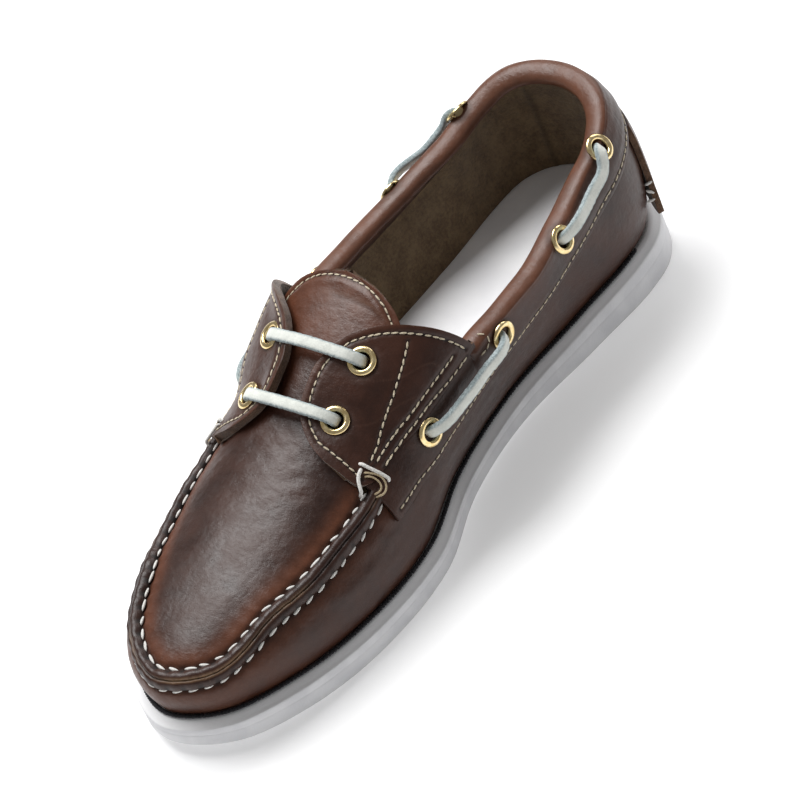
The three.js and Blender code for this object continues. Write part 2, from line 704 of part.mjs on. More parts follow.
// Cuts the eyelets' holes through a leather piece.
function pierce(mesh, seats) {
  let body = toManifold(mesh);
  seats.forEach((at) => {
    const drill = new THREE.Mesh(new THREE.CylinderGeometry(eyelet.bore, eyelet.bore, 8, 12));
    drill.quaternion.setFromUnitVectors(new THREE.Vector3(0, 1, 0), at.normal);
    drill.position.copy(at.point).addScaledVector(at.normal, 4 - overlayThick - 0.15);
    drill.position.add(new THREE.Vector3(shiftX, shiftY, 0));
    drill.updateMatrix();
    const shape = drill.geometry.clone().applyMatrix4(drill.matrix);
    const list = [];
    for (let i = 0; i < shape.index.count; i += 3) {
      list.push([0, 1, 2].map((k) => new THREE.Vector3().fromBufferAttribute(
        shape.attributes.position, shape.index.getX(i + k),
      )));
    }
    const back = new THREE.Vector3(-shiftX, -shiftY, 0);
    const cutter = addSolid('drill', list.map((t) => t.map((p) => p.add(back))), brass);
    root.remove(cutter);
    pieces.delete('drill');
    body = body.subtract(toManifold(cutter));
  });
  const result = body.getMesh();
  mesh.geometry.setAttribute('position', new THREE.Float32BufferAttribute(result.vertProperties, 3));
  mesh.geometry.setIndex(Array.from(result.triVerts));
}

const seats = { medial: [], lateral: [] };
const throatSeats = { medial: [], lateral: [] };
[{ word: 'medial', side: 1 }, { word: 'lateral', side: -1 }].forEach(({ word, side }) => {
  throatEyelets.forEach((row) => {
    const a = atY(row[`${word}Y`]);
    const at = seat(side, a, acrossX(side, a, row[`${word}X`]));
    throatSeats[word].push(at);
    addEyelet(`throat_eyelet_${row.name}_${word}`, at, 0);
  });
  sideEyelets.forEach((row) => {
    const a = row[`${word}A`] ?? atY(row[`${word}Y`]);
    const at = seat(side, a, climb(side, a, row[`${word}Z`]));
    seats[word].push(at);
    addEyelet(`side_eyelet_${row.name}_${word}`, at, row.name === 'front' ? 0 : 0.75);
  });
  const wing = addSolid(`wing_${word}`, plate(wingGrid(side, faceLift), wingGrid(side, overlayGap)), leather);
  pierce(wing, throatSeats[word]);
});
pierce(addSolid('collar_band', collarBand, leather), [...seats.medial, ...seats.lateral]);

// Lace bars: each rises out of one eyelet, runs clear of the leather and drops into the next.
const laceShape = [
  { x: 0.5, y: -0.28 }, { x: 0.5, y: 0.28 }, { x: 0.36, y: 0.5 }, { x: -0.36, y: 0.5 },
  { x: -0.5, y: 0.28 }, { x: -0.5, y: -0.28 }, { x: -0.36, y: -0.5 }, { x: 0.36, y: -0.5 },
].map((p) => new THREE.Vector2(p.x * lace.wide, p.y * lace.thick));

function laceBar(name, from, to, rise, guide) {
  const span = to.point.clone().sub(from.point);
  const toward = span.clone().normalize();
  const lead = (at, up, ahead) => {
    const point = at.point.clone().addScaledVector(at.normal, up);
    return point.addScaledVector(toward, ahead);
  };
  const middle = from.point.clone().add(to.point).multiplyScalar(0.5).addScaledVector(guide, rise);
  const path = new THREE.CatmullRomCurve3([
    lead(from, -0.9, 0), lead(from, 1.6, 0), lead(from, 4.2, 2.2), lead(from, 5.4, 6.4), middle,
    lead(to, 5.4, -6.4), lead(to, 4.2, -2.2), lead(to, 1.6, 0), lead(to, -0.9, 0),
  ], false, 'centripetal');
  const steps = range(0, 1, 11);
  const rings = steps.map((t) => {
    const point = path.getPoint(t);
    const along = path.getTangent(t);
    const wide = new THREE.Vector3().crossVectors(guide, toward).normalize();
    const thick = new THREE.Vector3().crossVectors(along, wide).normalize();
    const flat = new THREE.Vector3().crossVectors(thick, along).normalize();
    return laceShape.map((p) => point.clone().addScaledVector(flat, p.x).addScaledVector(thick, p.y));
  });
  addSolid(name, sweep(rings, laceShape, false), rawhide);
}

const upward = new THREE.Vector3(0, -0.45, 0.9).normalize();
laceBar('lace_bar_upper', throatSeats.lateral[0], throatSeats.medial[0], 11.5, upward);
laceBar('lace_bar_lower', throatSeats.lateral[1], throatSeats.medial[1], 12.0, upward);
['medial', 'lateral'].forEach((word) => {
  const [front, middle, rear, heel] = seats[word];
  const out = (from, to) => from.normal.clone().add(to.normal).normalize();
  laceBar(`side_lace_front_${word}`, front, middle, 5.2, out(front, middle));
  laceBar(`side_lace_rear_${word}`, rear, heel, 6.0, out(rear, heel));
});

export default root;
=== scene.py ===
import math

import bmesh
import bpy
import numpy as np
from mathutils import Matrix, Vector
from mathutils.bvhtree import BVHTree
from mathutils.kdtree import KDTree


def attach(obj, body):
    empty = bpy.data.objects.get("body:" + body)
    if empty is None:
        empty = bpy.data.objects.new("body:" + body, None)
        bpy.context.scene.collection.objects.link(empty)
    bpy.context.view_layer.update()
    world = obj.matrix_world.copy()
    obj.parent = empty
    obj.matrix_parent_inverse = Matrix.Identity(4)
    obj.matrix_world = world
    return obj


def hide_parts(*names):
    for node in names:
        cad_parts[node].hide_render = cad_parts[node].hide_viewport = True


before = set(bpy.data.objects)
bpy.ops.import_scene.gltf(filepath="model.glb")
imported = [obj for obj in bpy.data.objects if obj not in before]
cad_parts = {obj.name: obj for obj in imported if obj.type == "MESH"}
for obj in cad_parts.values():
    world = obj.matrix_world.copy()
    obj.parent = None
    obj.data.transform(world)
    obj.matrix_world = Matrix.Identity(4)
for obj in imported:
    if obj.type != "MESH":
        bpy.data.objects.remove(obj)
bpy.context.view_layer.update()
print("frame loaded:", len(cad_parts), "nodes")

# The last: millimetres, toe towards -Y, medial side +X. u runs from -3 (heel) over 0 (toe) to 3 (heel), with
# the medial side positive; v climbs each section from the sole to the crown. a is u without its sign.
lastShape = {
    "toeCentre": -86.0, "heelCentre": 98.0, "feather": 5.4, "gap": 0.3,
    "shiftX": 0.36, "shiftY": -2.82, "step": 0.005, "reachU": 3.03,
}


def table(names, numbers):
    rows = np.array(numbers.split(), float).reshape(-1, len(names.split()))
    return dict(zip(names.split(), rows.T))


outlineRows = table("x y", """
    4.0 -132.0  24.4 -122.8  38.2 -97.9  45.6 -63.0  44.2 -31.5  32.6 0.4  27.9 35.0  31.2 75.0  33.4 103.0
    30.4 119.4  19.4 131.6  1.0 135.5  -17.4 131.6  -28.4 119.4  -31.6 102.0  -31.8 70.0  -35.1 34.0
    -41.2 -1.5  -46.0 -41.0  -43.2 -75.4  -32.0 -106.5  -15.0 -125.0""")
soleRows = table("y top under", """
    -134 14.2 5.2  -115 13.0 2.6  -95 11.7 0.8  -74 10.7 0  -30 9.9 0  -10 9.6 0.6
    20 10.0 0.9  50 11.6 0.4  66 12.6 0  100 14.8 0  136 16.6 0""")
spineRows = table("y x crown", """
    -86 2.0 44.0  -60 1.2 51.2  -36 0.4 60.0  -20 0 68.0  0 0 77.8
    15 0 84.5  30 0.2 89.0  60 0.8 92.0  98 2.0 92.0""")
sectionRows = table("y medial lateral lift shoulder", """
    -128 7 7 17 36.5  -105 7.5 7.5 16 30.5  -80 8 7 16 30.5  -56 8 6 16 35  -38 9.5 6 18 33  -27 11 6 20 31
    -13 13 7 23 42.5  4 16.5 8.5 24 48  22 18.5 9 24 50.4  36 18 9.5 24 53.5  50 16.5 11 24 53.5
    75 11.5 10.5 22 45  98 10.5 9 17 35.5  110 11.5 9.5 16 36  120 11 8 16 39.5  130 6.5 6.5 17 42""")
collarRows = table("y top low", """
    -38 46 31.6  -25 48 32.6  0 53 35.4  24 57.2 38.6  50 57.4 40.6  75 60.6 43  98 65.6 48  112 70 52.6
    124 74.4 58  131 76 60.4""")
seamRows = table("a medial lateral", """
    0 6.6 6.8  0.3 6.4 9  0.6 7.8 11.6  0.85 9.4 13  1.08 10 13  1.28 9.6 12.4""")


def look(rows, name, at, key="y"):  # smooth table lookup that never overshoots its rows
    x, y = rows[key], rows[name]
    slope = np.diff(y) / np.diff(x)
    before, after = slope[:-1], slope[1:]
    both = before + after
    middle = np.divide(2 * before * after, both, out=np.zeros_like(before), where=before * after > 0)
    tangent = np.concatenate([slope[:1], middle, slope[-1:]])
    at = np.clip(np.asarray(at, float), x[0], x[-1])
    i = np.clip(np.searchsorted(x, at) - 1, 0, len(x) - 2)
    span = x[i + 1] - x[i]
    t = (at - x[i]) / span
    hermite = y[i] * (2 * t**3 - 3 * t**2 + 1) + y[i + 1] * (3 * t**2 - 2 * t**3)
    return hermite + span * (tangent[i] * (t**3 - 2 * t**2 + t) + tangent[i + 1] * (t**3 - t**2))


def closedCurve(points, count):  # centripetal curve through the points, evenly spaced
    fine = []
    t = np.linspace(0, 1, 60, endpoint=False)[:, None]
    for i in range(len(points)):
        p0, p1, p2, p3 = (points[(i + k) % len(points)] for k in (-1, 0, 1, 2))
        d0, d1, d2 = (np.linalg.norm(b - a) ** 0.5 for a, b in ((p0, p1), (p1, p2), (p2, p3)))
        m1 = ((p1 - p0) / d0 - (p2 - p0) / (d0 + d1) + (p2 - p1) / d1) * d1
        m2 = ((p2 - p1) / d1 - (p3 - p1) / (d1 + d2) + (p3 - p2) / d2) * d1
        fine.append(p1 + m1 * t + (3 * (p2 - p1) - 2 * m1 - m2) * t**2 + (2 * (p1 - p2) + m1 + m2) * t**3)
    fine = np.vstack(fine + [points[:1]])
    run = np.concatenate([[0], np.cumsum(np.linalg.norm(np.diff(fine, axis=0), axis=1))])
    even = np.linspace(0, run[-1], count, endpoint=False)
    return np.column_stack([np.interp(even, run, fine[:, k]) for k in (0, 1)])


outline = closedCurve(np.column_stack([outlineRows["x"], outlineRows["y"]]), 720)
stationU = np.arange(-lastShape["reachU"], lastShape["reachU"] + 1e-9, lastShape["step"])
stationSide = np.where((stationU >= 0) == (np.abs(stationU) <= 3), 1.0, -1.0)
stationA = np.where(np.abs(stationU) > 3, 6 - np.abs(stationU), np.abs(stationU))
lastSpan = lastShape["heelCentre"] - lastShape["toeCentre"]
stationY = lastShape["toeCentre"] + lastSpan * np.clip(stationA - 1, 0, 1)
stationTurn = np.where(stationA < 1, stationA - 1, np.maximum(stationA - 2, 0)) * math.pi / 2
stationX = look(spineRows, "x", stationY)
stationDx, stationDy = stationSide * np.cos(stationTurn), np.sin(stationTurn)


def reachTo(inset):  # distance from the spine to the sole's outline, moved in by inset, at every station
    along = np.roll(outline, -1, 0) - np.roll(outline, 1, 0)
    along /= np.linalg.norm(along, axis=1)[:, None]
    ring = outline + inset * np.column_stack([-along[:, 1], along[:, 0]])
    edge = np.roll(ring, -1, 0) - ring
    dx, dy, x, y = (k[:, None] for k in (stationDx, stationDy, stationX, stationY))
    cross = dx * edge[:, 1] - dy * edge[:, 0]
    cross = np.where(np.abs(cross) < 1e-9, 1e-9, cross)
    t = ((ring[:, 0] - x) * edge[:, 1] - (ring[:, 1] - y) * edge[:, 0]) / cross
    s = ((ring[:, 0] - x) * dy - (ring[:, 1] - y) * dx) / cross
    return np.where((s > -1e-6) & (s < 1 + 1e-6) & (t > 0), t, 0).max(1)


def lastTable():
    foot = reachTo(lastShape["feather"])
    y = stationY + stationDy * foot
    medial, lateral = look(sectionRows, "medial", y), look(sectionRows, "lateral", y)
    own, other = np.where(stationSide > 0, medial, lateral), np.where(stationSide > 0, lateral, medial)
    swell = own + (other - own) * 0.5 * np.abs(stationDy)
    crown = look(spineRows, "crown", stationY)
    rise = (look(spineRows, "crown", stationY + 1) - look(spineRows, "crown", stationY - 1)) / 2
    toeRise = (look(spineRows, "crown", lastShape["toeCentre"] + 4) - crown) / 4
    slope = np.where(stationA < 1, toeRise, rise)
    shoulder = look(sectionRows, "shoulder", y)
    base = look(soleRows, "top", y) + lastShape["gap"]
    lift = look(sectionRows, "lift", y)
    rows = [stationX, stationY, stationDx, stationDy, foot, foot + swell, shoulder, 0 * foot]
    rows += [base, base + lift, crown + slope * stationDy * shoulder, crown, slope]
    return np.column_stack(rows)


lastRows = lastTable()
lastSlopes = np.gradient(lastRows, stationU, axis=0)
edgeReach = reachTo(0.0)


def atY(y):
    return 1 + (np.asarray(y, float) - lastShape["toeCentre"]) / lastSpan


def yOf(a):  # the reverse of atY
    return np.interp(a, [1, 2], [lastShape["toeCentre"], lastShape["heelCentre"]])


def stationRow(source, u):
    place = (np.asarray(u, float) + lastShape["reachU"]) / lastShape["step"]
    i = np.clip(place.astype(int), 0, len(stationU) - 2)
    share = (place - i)[..., None]
    return source[i] * (1 - share) + source[i + 1] * share


def bezier(points, v):
    w = 1 - v
    return (w**3 * points[..., 0] + 3 * w * w * v * points[..., 1]
            + 3 * w * v * v * points[..., 2] + v**3 * points[..., 3])


def bezierRise(points, v):
    w = 1 - v
    first, second, third = (points[..., k + 1] - points[..., k] for k in range(3))
    return 3 * (w * w * first + 2 * w * v * second + v * v * third)


def onLast(u, v, lift=0.0):  # points lifted off the last along its normals, the normals, and the climb
    u, v = np.broadcast_arrays(np.asarray(u, float), np.asarray(v, float))
    row, slope = stationRow(lastRows, u), stationRow(lastSlopes, u)
    r, z = bezier(row[..., 4:8], v), bezier(row[..., 8:12], v)
    outward, upward = bezierRise(row[..., 4:8], v), bezierRise(row[..., 8:12], v)
    point = np.stack([row[..., 0] + row[..., 2] * r, row[..., 1] + row[..., 3] * r, z], -1)
    up = np.stack([row[..., 2] * outward, row[..., 3] * outward, upward], -1)
    ru, zu = bezier(slope[..., 4:8], v), bezier(slope[..., 8:12], v)
    flat = [slope[..., k] + slope[..., k + 2] * r + row[..., k + 2] * ru for k in (0, 1)]
    normal = np.cross(np.stack([*flat, zu], -1), up)
    top = np.stack([0 * v, -row[..., 12], 0 * v + 1], -1)
    normal = np.where((v > 0.998)[..., None], top, normal)
    normal /= np.linalg.norm(normal, axis=-1, keepdims=True)
    up /= np.linalg.norm(up, axis=-1, keepdims=True)
    return point + normal * np.asarray(lift, float)[..., None], normal, up


def halve(below, low, high):  # finds where below(v) turns false
    for i in range(26):
        middle = (low + high) / 2
        under = below(middle)
        low, high = np.where(under, middle, low), np.where(under, high, middle)
    return (low + high) / 2


def vAtHeight(u, z):
    row = stationRow(lastRows, u)
    z = np.asarray(z, float)
    return halve(lambda v: bezier(row[..., 8:12], v) < z, 0 * row[..., 0], 0 * row[..., 0] + 1)


def vAtDistance(u, distance):  # on the upper part of the section, this far from the spine
    row = stationRow(lastRows, u)
    steps = np.linspace(0, 1, 41)
    widest = steps[np.argmax([bezier(row[..., 4:8], 0 * row[..., 0] + s) for s in steps], axis=0)]
    v = halve(lambda v: bezier(row[..., 4:8], v) > distance, widest, 0 * widest + 1)
    return np.where(np.asarray(distance) <= 0, 1.0, v)


def vAcross(u, half):  # this far from the shoe's centre line
    x = stationRow(lastRows, u)[..., 0]
    return vAtDistance(u, np.maximum(half - np.sign(u) * x, 0))


def yAt(u):
    row = stationRow(lastRows, u)
    return row[..., 1] + row[..., 3] * row[..., 4]


def locate(points):  # u and v of the places on the last nearest to these points
    x, y, z = np.asarray(points, float).T
    centre = np.clip(y, lastShape["toeCentre"], lastShape["heelCentre"])
    dx, dy = x - look(spineRows, "x", centre), y - centre
    turn = np.arctan2(dy, np.maximum(np.abs(dx), 1e-9)) / (math.pi / 2)
    a = np.where(dy < 0, 1 + turn, np.where(dy > 0, 2 + turn, atY(centre)))
    u = a * np.where(dx < 0, -1, 1)
    steps = np.linspace(0, 1, 401)
    row = stationRow(lastRows, u)
    reach = np.hypot(dx, dy)
    gaps = []
    for s in steps:
        outward, upward = bezier(row[..., 4:8], s + 0 * z) - reach, bezier(row[..., 8:12], s + 0 * z) - z
        gaps.append(outward**2 + upward**2)
    return u, steps[np.argmin(gaps, axis=0)]


def seamV(u):  # the hand-sewn seam round the plug
    a = np.abs(u)
    inset = np.where(u > 0, look(seamRows, "medial", a, "a"), look(seamRows, "lateral", a, "a"))
    return vAtDistance(u, np.interp(u, stationU, edgeReach) - inset)


def metres(points):
    return (np.asarray(points, float) + [lastShape["shiftX"], lastShape["shiftY"], 0.0]) * 0.001


def ease(low, high, at):
    t = np.clip((np.asarray(at, float) - low) / (high - low), 0, 1)
    return t * t * (3 - 2 * t)


def fade(distance, width):  # 1 at no distance, and next to nothing at twice the width
    return np.exp(-((distance / width) ** 2))


def curveThrough(rows, spacing):  # smooth open curve through points, evenly spaced
    points = np.asarray(rows, float)
    run = np.concatenate([[0], np.cumsum(np.linalg.norm(np.diff(points, axis=0), axis=1))])
    fine = np.linspace(0, run[-1], max(int(run[-1] / spacing), 8) * 4)
    slope = np.gradient(points, run, axis=0)
    i = np.clip(np.searchsorted(run, fine) - 1, 0, len(run) - 2)
    span = (run[i + 1] - run[i])[:, None]
    t = (fine - run[i])[:, None] / span
    curve = points[i] * (2 * t**3 - 3 * t**2 + 1) + points[i + 1] * (3 * t**2 - 2 * t**3)
    curve += span * (slope[i] * (t**3 - 2 * t**2 + t) + slope[i + 1] * (t**3 - t**2))
    run = np.concatenate([[0], np.cumsum(np.linalg.norm(np.diff(curve, axis=0), axis=1))])
    even = np.linspace(0, run[-1], max(int(run[-1] / spacing), 2) + 1)
    return np.column_stack([np.interp(even, run, curve[:, k]) for k in range(points.shape[1])])


def soften(values, times=3):
    for i in range(times):
        middle = (values[:-2] + 2 * values[1:-1] + values[2:]) / 4
        values = np.concatenate([values[:1], middle, values[-1:]])
    return values


def lineOn(rows, lift):  # a line drawn on the last through these places, at this height above it
    u, v = locate(curveThrough(np.array(rows.split(), float).reshape(-1, 3), 0.5))
    return lineAlong(soften(u, 12), soften(v, 12), lift)


def lineAlong(u, v, lift):
    points, normals, up = onLast(u, v, lift + 0 * u)
    run = np.concatenate([[0], np.cumsum(np.linalg.norm(np.diff(points, axis=0), axis=1))])
    return {"u": u, "v": v, "points": points, "normals": normals, "up": up, "run": run}


def mirrored(rows):
    numbers = np.array(rows.split(), float).reshape(-1, 3) * [-1, 1, 1]
    return " ".join(str(n) for n in numbers.ravel())


def nearest(points, line):  # distance from each point to a line, and how far along it that is
    tree = KDTree(len(line["points"]))
    for i, p in enumerate(line["points"]):
        tree.insert(p, i)
    tree.balance()
    found = [tree.find(p)[1:] for p in points]
    return np.array([f[1] for f in found]), line["run"][[f[0] for f in found]]


def wander(points, size, seed):  # smooth unevenness between -1 and 1, of about this size in millimetres
    pick = np.random.default_rng(seed)
    total = 0
    for i in range(7):
        direction = pick.normal(size=3)
        direction *= 2 * math.pi / (size * pick.uniform(0.7, 1.6) * np.linalg.norm(direction))
        total = total + np.sin(points @ direction + pick.uniform(0, 6.3))
    return total / 4


def gridPiece(columns, rows, place):
    mesh = bmesh.new()
    bmesh.ops.create_grid(mesh, x_segments=columns, y_segments=rows, size=0.5)
    spots = np.array([v.co[:2] for v in mesh.verts]).round(6) + 0.5
    points, marks = place(spots[:, 0], spots[:, 1])
    for key, values in marks.items():
        layer = mesh.verts.layers.float.new(key)
        for v, value in zip(mesh.verts, values):
            v[layer] = float(value)
    for v, p in zip(mesh.verts, metres(points)):
        v.co = p
    bmesh.ops.remove_doubles(mesh, verts=mesh.verts, dist=3e-6)
    return mesh


surfaces = {}  # each finished piece's skin, for the stitches that lie on it


def settle(lineNames, pieceName):  # lays the lines on the piece's leather
    for name in lineNames:
        line = lines[name]
        moved = []
        for point, normal in zip(line["points"], line["normals"]):
            outside = Vector(metres(point + normal * 5))
            met = surfaces[pieceName].ray_cast(outside, Vector(-normal), 0.012)[0]
            moved.append(0.0 if met is None else 1000 * np.dot(np.array(met) - metres(point), normal))
        line["points"] = line["points"] + line["normals"] * soften(np.array(moved), 3)[:, None]


def finishPiece(name, mesh, materials, nodes=(), closed=False, wall=None):
    surfaces[name] = BVHTree.FromBMesh(mesh)
    if closed:
        edges = [e for e in mesh.edges if e.is_boundary]
        if edges:
            bmesh.ops.holes_fill(mesh, edges=edges)
        bmesh.ops.recalc_face_normals(mesh, faces=mesh.faces)
    data = bpy.data.meshes.new(name)
    mesh.to_mesh(data)
    mesh.free()
    data.polygons.foreach_set("use_smooth", [True] * len(data.polygons))
    for material in materials:
        data.materials.append(material)
    piece = bpy.data.objects.new(name, data)
    bpy.context.scene.collection.objects.link(piece)
    if wall:
        solid = piece.modifiers.new("wall", "SOLIDIFY")
        solid.thickness, solid.offset, solid.use_even_offset = wall, -1.0, False
        solid.material_offset_rim = min(1, len(materials) - 1)
        solid.material_offset = min(2, len(materials) - 1)
        edge = piece.modifiers.new("soft edge", "BEVEL")
        edge.width, edge.segments = 0.00035, 2
        edge.limit_method, edge.angle_limit = "ANGLE", math.radians(55)
    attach(piece, "root")
    if nodes:
        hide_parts(*nodes)
    print("made", name, len(data.polygons))
    return piece


class Wire:  # a socket that can be used in sums
    def __init__(self, paint, socket):
        self.paint, self.socket = paint, socket

    def math(self, operation, *values):
        return self.paint.node("ShaderNodeMath", {"operation": operation}, dict(enumerate(values)))

    def __add__(self, other):
        return self.math("ADD", self, other)

    def __sub__(self, other):
        return self.math("SUBTRACT", self, other)

    def __rsub__(self, other):
        return self.math("SUBTRACT", other, self)

    def __mul__(self, other):
        return self.math("MULTIPLY", self, other)

    __radd__, __rmul__ = __add__, __mul__


class Paint:
    def __init__(self, name, fixed):
        self.material = bpy.data.materials.new(name)
        self.material.use_nodes = True
        self.tree = self.material.node_tree
        self.shader = self.tree.nodes["Principled BSDF"]
        for key, value in fixed.items():
            self.shader.inputs[key].default_value = value
        self.place = self.node("ShaderNodeTexCoord", {}, {}, "Object")

    def node(self, kind, settings, values, output=0):
        node = self.tree.nodes.new(kind)
        for key, value in settings.items():
            setattr(node, key, value)
        for key, value in values.items():
            if isinstance(value, Wire):
                self.tree.links.new(value.socket, node.inputs[key])
            else:
                node.inputs[key].default_value = value
        return Wire(self, node.outputs[output])

    def spread(self, stretch):
        return self.node("ShaderNodeMapping", {}, {"Vector": self.place, "Scale": stretch})

    def noise(self, size, detail=2.0, rough=0.5, at=None):  # size in millimetres
        values = {"Vector": at or self.place, "Scale": 1000.0 / size, "Detail": detail, "Roughness": rough}
        return self.node("ShaderNodeTexNoise", {}, values)

    def bent(self, size, amount):  # the place shifted by noise, so that cells lose their straight sides
        values = {"Vector": self.place, "Scale": 1000.0 / size, "Detail": 2.0}
        noise = self.node("ShaderNodeTexNoise", {}, values, 1)
        shift = self.node("ShaderNodeVectorMath", {"operation": "SCALE"}, {0: noise, "Scale": amount * 0.001})
        return self.node("ShaderNodeVectorMath", {"operation": "ADD"}, {0: self.place, 1: shift})

    def cellEdges(self, size, at):
        values = {"Vector": at, "Scale": 1000.0 / size}
        return self.node("ShaderNodeTexVoronoi", {"feature": "DISTANCE_TO_EDGE"}, values)

    def mark(self, name):
        return self.node("ShaderNodeAttribute", {"attribute_name": name}, {}, "Fac")

    def step(self, wire, low, high, bottom=0.0, top=1.0):
        values = {"Value": wire, 1: low, 2: high, 3: bottom, 4: top}
        return self.node("ShaderNodeMapRange", {"interpolation_type": "SMOOTHSTEP"}, values)

    def blend(self, first, second, factor):
        a, b = (c if isinstance(c, Wire) else (*c, 1.0) for c in (first, second))
        return self.node("ShaderNodeMix", {"data_type": "RGBA"}, {0: factor, 6: a, 7: b}, 2)

    def bump(self, height, depth, normal=None):
        values = {"Height": height, "Distance": depth * 0.001, "Strength": 1.0}
        if normal:
            values["Normal"] = normal
        return self.node("ShaderNodeBump", {}, values)

    def use(self, **sockets):
        for key, value in sockets.items():
            self.tree.links.new(value.socket, self.shader.inputs[key.replace("_", " ")])
        return self.material


# the lightest tone serves scuffs and streaks, and also the painted highlight on the roll of the collar
leatherTones = {
    "deep": (0.018, 0.0058, 0.0032), "body": (0.043, 0.0138, 0.0070), "warm": (0.130, 0.042, 0.0185),
    "wornAndLit": (0.15, 0.078, 0.052), "dark": (0.005, 0.0024, 0.0019),
}


def leather(name, tones, grain, bright=1.0):  # grain: size of the pores in millimetres
    paint = Paint(name, {"Specular IOR Level": 0.36, "Coat Weight": 0.03, "Coat Roughness": 0.3})
    cloud, patch, fine = paint.noise(34, 3.0), paint.noise(11, 3.0, 0.6), paint.noise(1.6, 4.0, 0.65)
    scaled = {k: tuple(c * bright for c in v) for k, v in tones.items()}
    colour = paint.blend(scaled["deep"], scaled["body"], paint.step(cloud * 0.6 + patch * 0.4, 0.33, 0.62))
    glow = paint.mark("glow") * paint.step(patch, 0.25, 0.75, 0.55, 1.0)
    # this mark lightens scuffs, and on the roll of the collar it is a painted highlight
    rubAndSheen = paint.mark("rubAndSheen") * paint.step(fine, 0.25, 0.7, 0.5, 1.0)
    colour = paint.blend(paint.blend(colour, scaled["warm"], glow), scaled["wornAndLit"], rubAndSheen)
    streak = paint.noise(1.3, 3.0, 0.7, paint.spread((1.0, 0.22, 0.6)))
    colour = paint.blend(colour, scaled["wornAndLit"], paint.step(streak, 0.66, 0.80, 0.0, 0.16))
    creases = paint.step(paint.cellEdges(grain, paint.bent(0.9, 0.8)), 0.0, 0.34)
    colour = paint.blend(scaled["dark"], colour, creases * 0.10 + (0.90 - paint.mark("shade") * 0.86))
    dull = paint.step(patch * 0.5 + fine * 0.5, 0.3, 0.7, 0.30, 0.46)
    dull = dull + paint.mark("shade") * 0.25
    wrinkle = paint.noise(1.7, 3.0, 0.6, paint.spread((0.75, 1.5, 1.0)))
    height = creases * 0.28 + fine * 0.5 + wrinkle * 1.5 + paint.noise(0.42, 2.0) * 0.3
    normal = paint.bump(height, 0.06, paint.bump(patch + paint.noise(4.5, 2.0) * 0.6, 0.34))
    return paint.use(Base_Color=colour, Roughness=dull, Normal=normal)


def fuzzy(name, low, high, size, depth, litColour=None):  # suede, raw edges and cut fibre
    paint = Paint(name, {"Roughness": 0.95, "Specular IOR Level": 0.2, "Sheen Weight": 0.35})
    fibre = paint.noise(size, 5.0, 0.72)
    tuft = paint.noise(size * 7, 3.0, 0.6)
    colour = paint.blend(low, high, paint.step(fibre * 0.55 + tuft * 0.45, 0.34, 0.66))
    if litColour:
        # painted light: this colour is laid where the glow mark lies, on the lit top of the lining
        colour = paint.blend(colour, litColour, paint.mark("glow") * paint.step(fibre, 0.42, 0.62, 0.15, 1.0))
    colour = paint.blend(colour, tuple(c * 0.35 for c in low), paint.mark("shade"))
    return paint.use(Base_Color=colour, Normal=paint.bump(fibre + tuft * 0.5, depth))


def rubberPaint():
    paint = Paint("white rubber", {"Specular IOR Level": 0.45})
    soft, fleck = paint.noise(9, 3.0), paint.noise(0.8, 3.0, 0.6)
    colour = paint.blend((0.70, 0.70, 0.72), (0.77, 0.77, 0.785), paint.step(soft, 0.35, 0.65))
    # painted light: the upward face of the ledge is painted whiter than the sides
    colour = paint.blend(colour, (0.90, 0.90, 0.91), paint.mark("ledge"))
    # painted shade, broken into brownish flecks: along the foot of the sole, in its groove and under the
    # upper
    paintedShade = paint.mark("shade") * paint.step(fleck, 0.3, 0.7, 0.25, 0.8)
    colour = paint.blend(colour, (0.30, 0.27, 0.24), paintedShade)
    bands = {"wave_type": "BANDS", "bands_direction": "Y", "wave_profile": "SIN"}
    waves = {"Vector": paint.place, "Scale": 85.0, "Distortion": 9.0, "Detail": 0.0, "Detail Scale": 1.2}
    # painted shade: the sipe cuts in the tread are painted dark
    sipes = paint.step(paint.node("ShaderNodeTexWave", bands, waves), 0.86, 0.97) * paint.mark("tread")
    colour = paint.blend(colour, (0.22, 0.22, 0.23), sipes)
    dull = paint.step(fleck, 0.3, 0.7, 0.5, 0.62)
    normal = paint.bump(fleck + (1 - sipes) * 6.0, 0.05)
    return paint.use(Base_Color=colour, Roughness=dull, Normal=normal)


def brassPaint():
    paint = Paint("polished brass", {"Metallic": 1.0})
    worn = paint.noise(1.4, 4.0, 0.6)
    colour = paint.blend((0.80, 0.60, 0.28), (0.93, 0.76, 0.44), paint.step(worn, 0.35, 0.65))
    colour = paint.blend(colour, (0.16, 0.10, 0.05), paint.mark("shade") * 0.8)
    return paint.use(Base_Color=colour, Roughness=paint.step(worn, 0.3, 0.7, 0.13, 0.27),
                     Normal=paint.bump(paint.noise(0.5, 2.0), 0.01))


def lacePaint():
    paint = Paint("lace leather", {"Specular IOR Level": 0.3, "Sheen Weight": 0.2})
    fibre, soft = paint.noise(0.7, 4.0, 0.7), paint.noise(5, 3.0)
    mottle = paint.step(fibre * 0.5 + soft * 0.5, 0.35, 0.65)
    face = paint.blend((0.66, 0.68, 0.63), (0.80, 0.82, 0.76), mottle)
    side = paint.blend((0.22, 0.27, 0.28), (0.46, 0.53, 0.54), paint.step(fibre, 0.36, 0.66))
    colour = paint.blend(face, side, paint.mark("side"))
    dull = paint.mark("side") * 0.3 + 0.58
    return paint.use(Base_Color=colour, Roughness=dull, Normal=paint.bump(fibre, 0.16))


def threadPaint(name, low, high, size):
    paint = Paint(name, {"Roughness": 0.8, "Specular IOR Level": 0.25})
    strand = paint.noise(size, 3.0, 0.65)
    colour = paint.blend(low, high, paint.step(strand, 0.35, 0.65))
    return paint.use(Base_Color=colour, Normal=paint.bump(strand, 0.12))


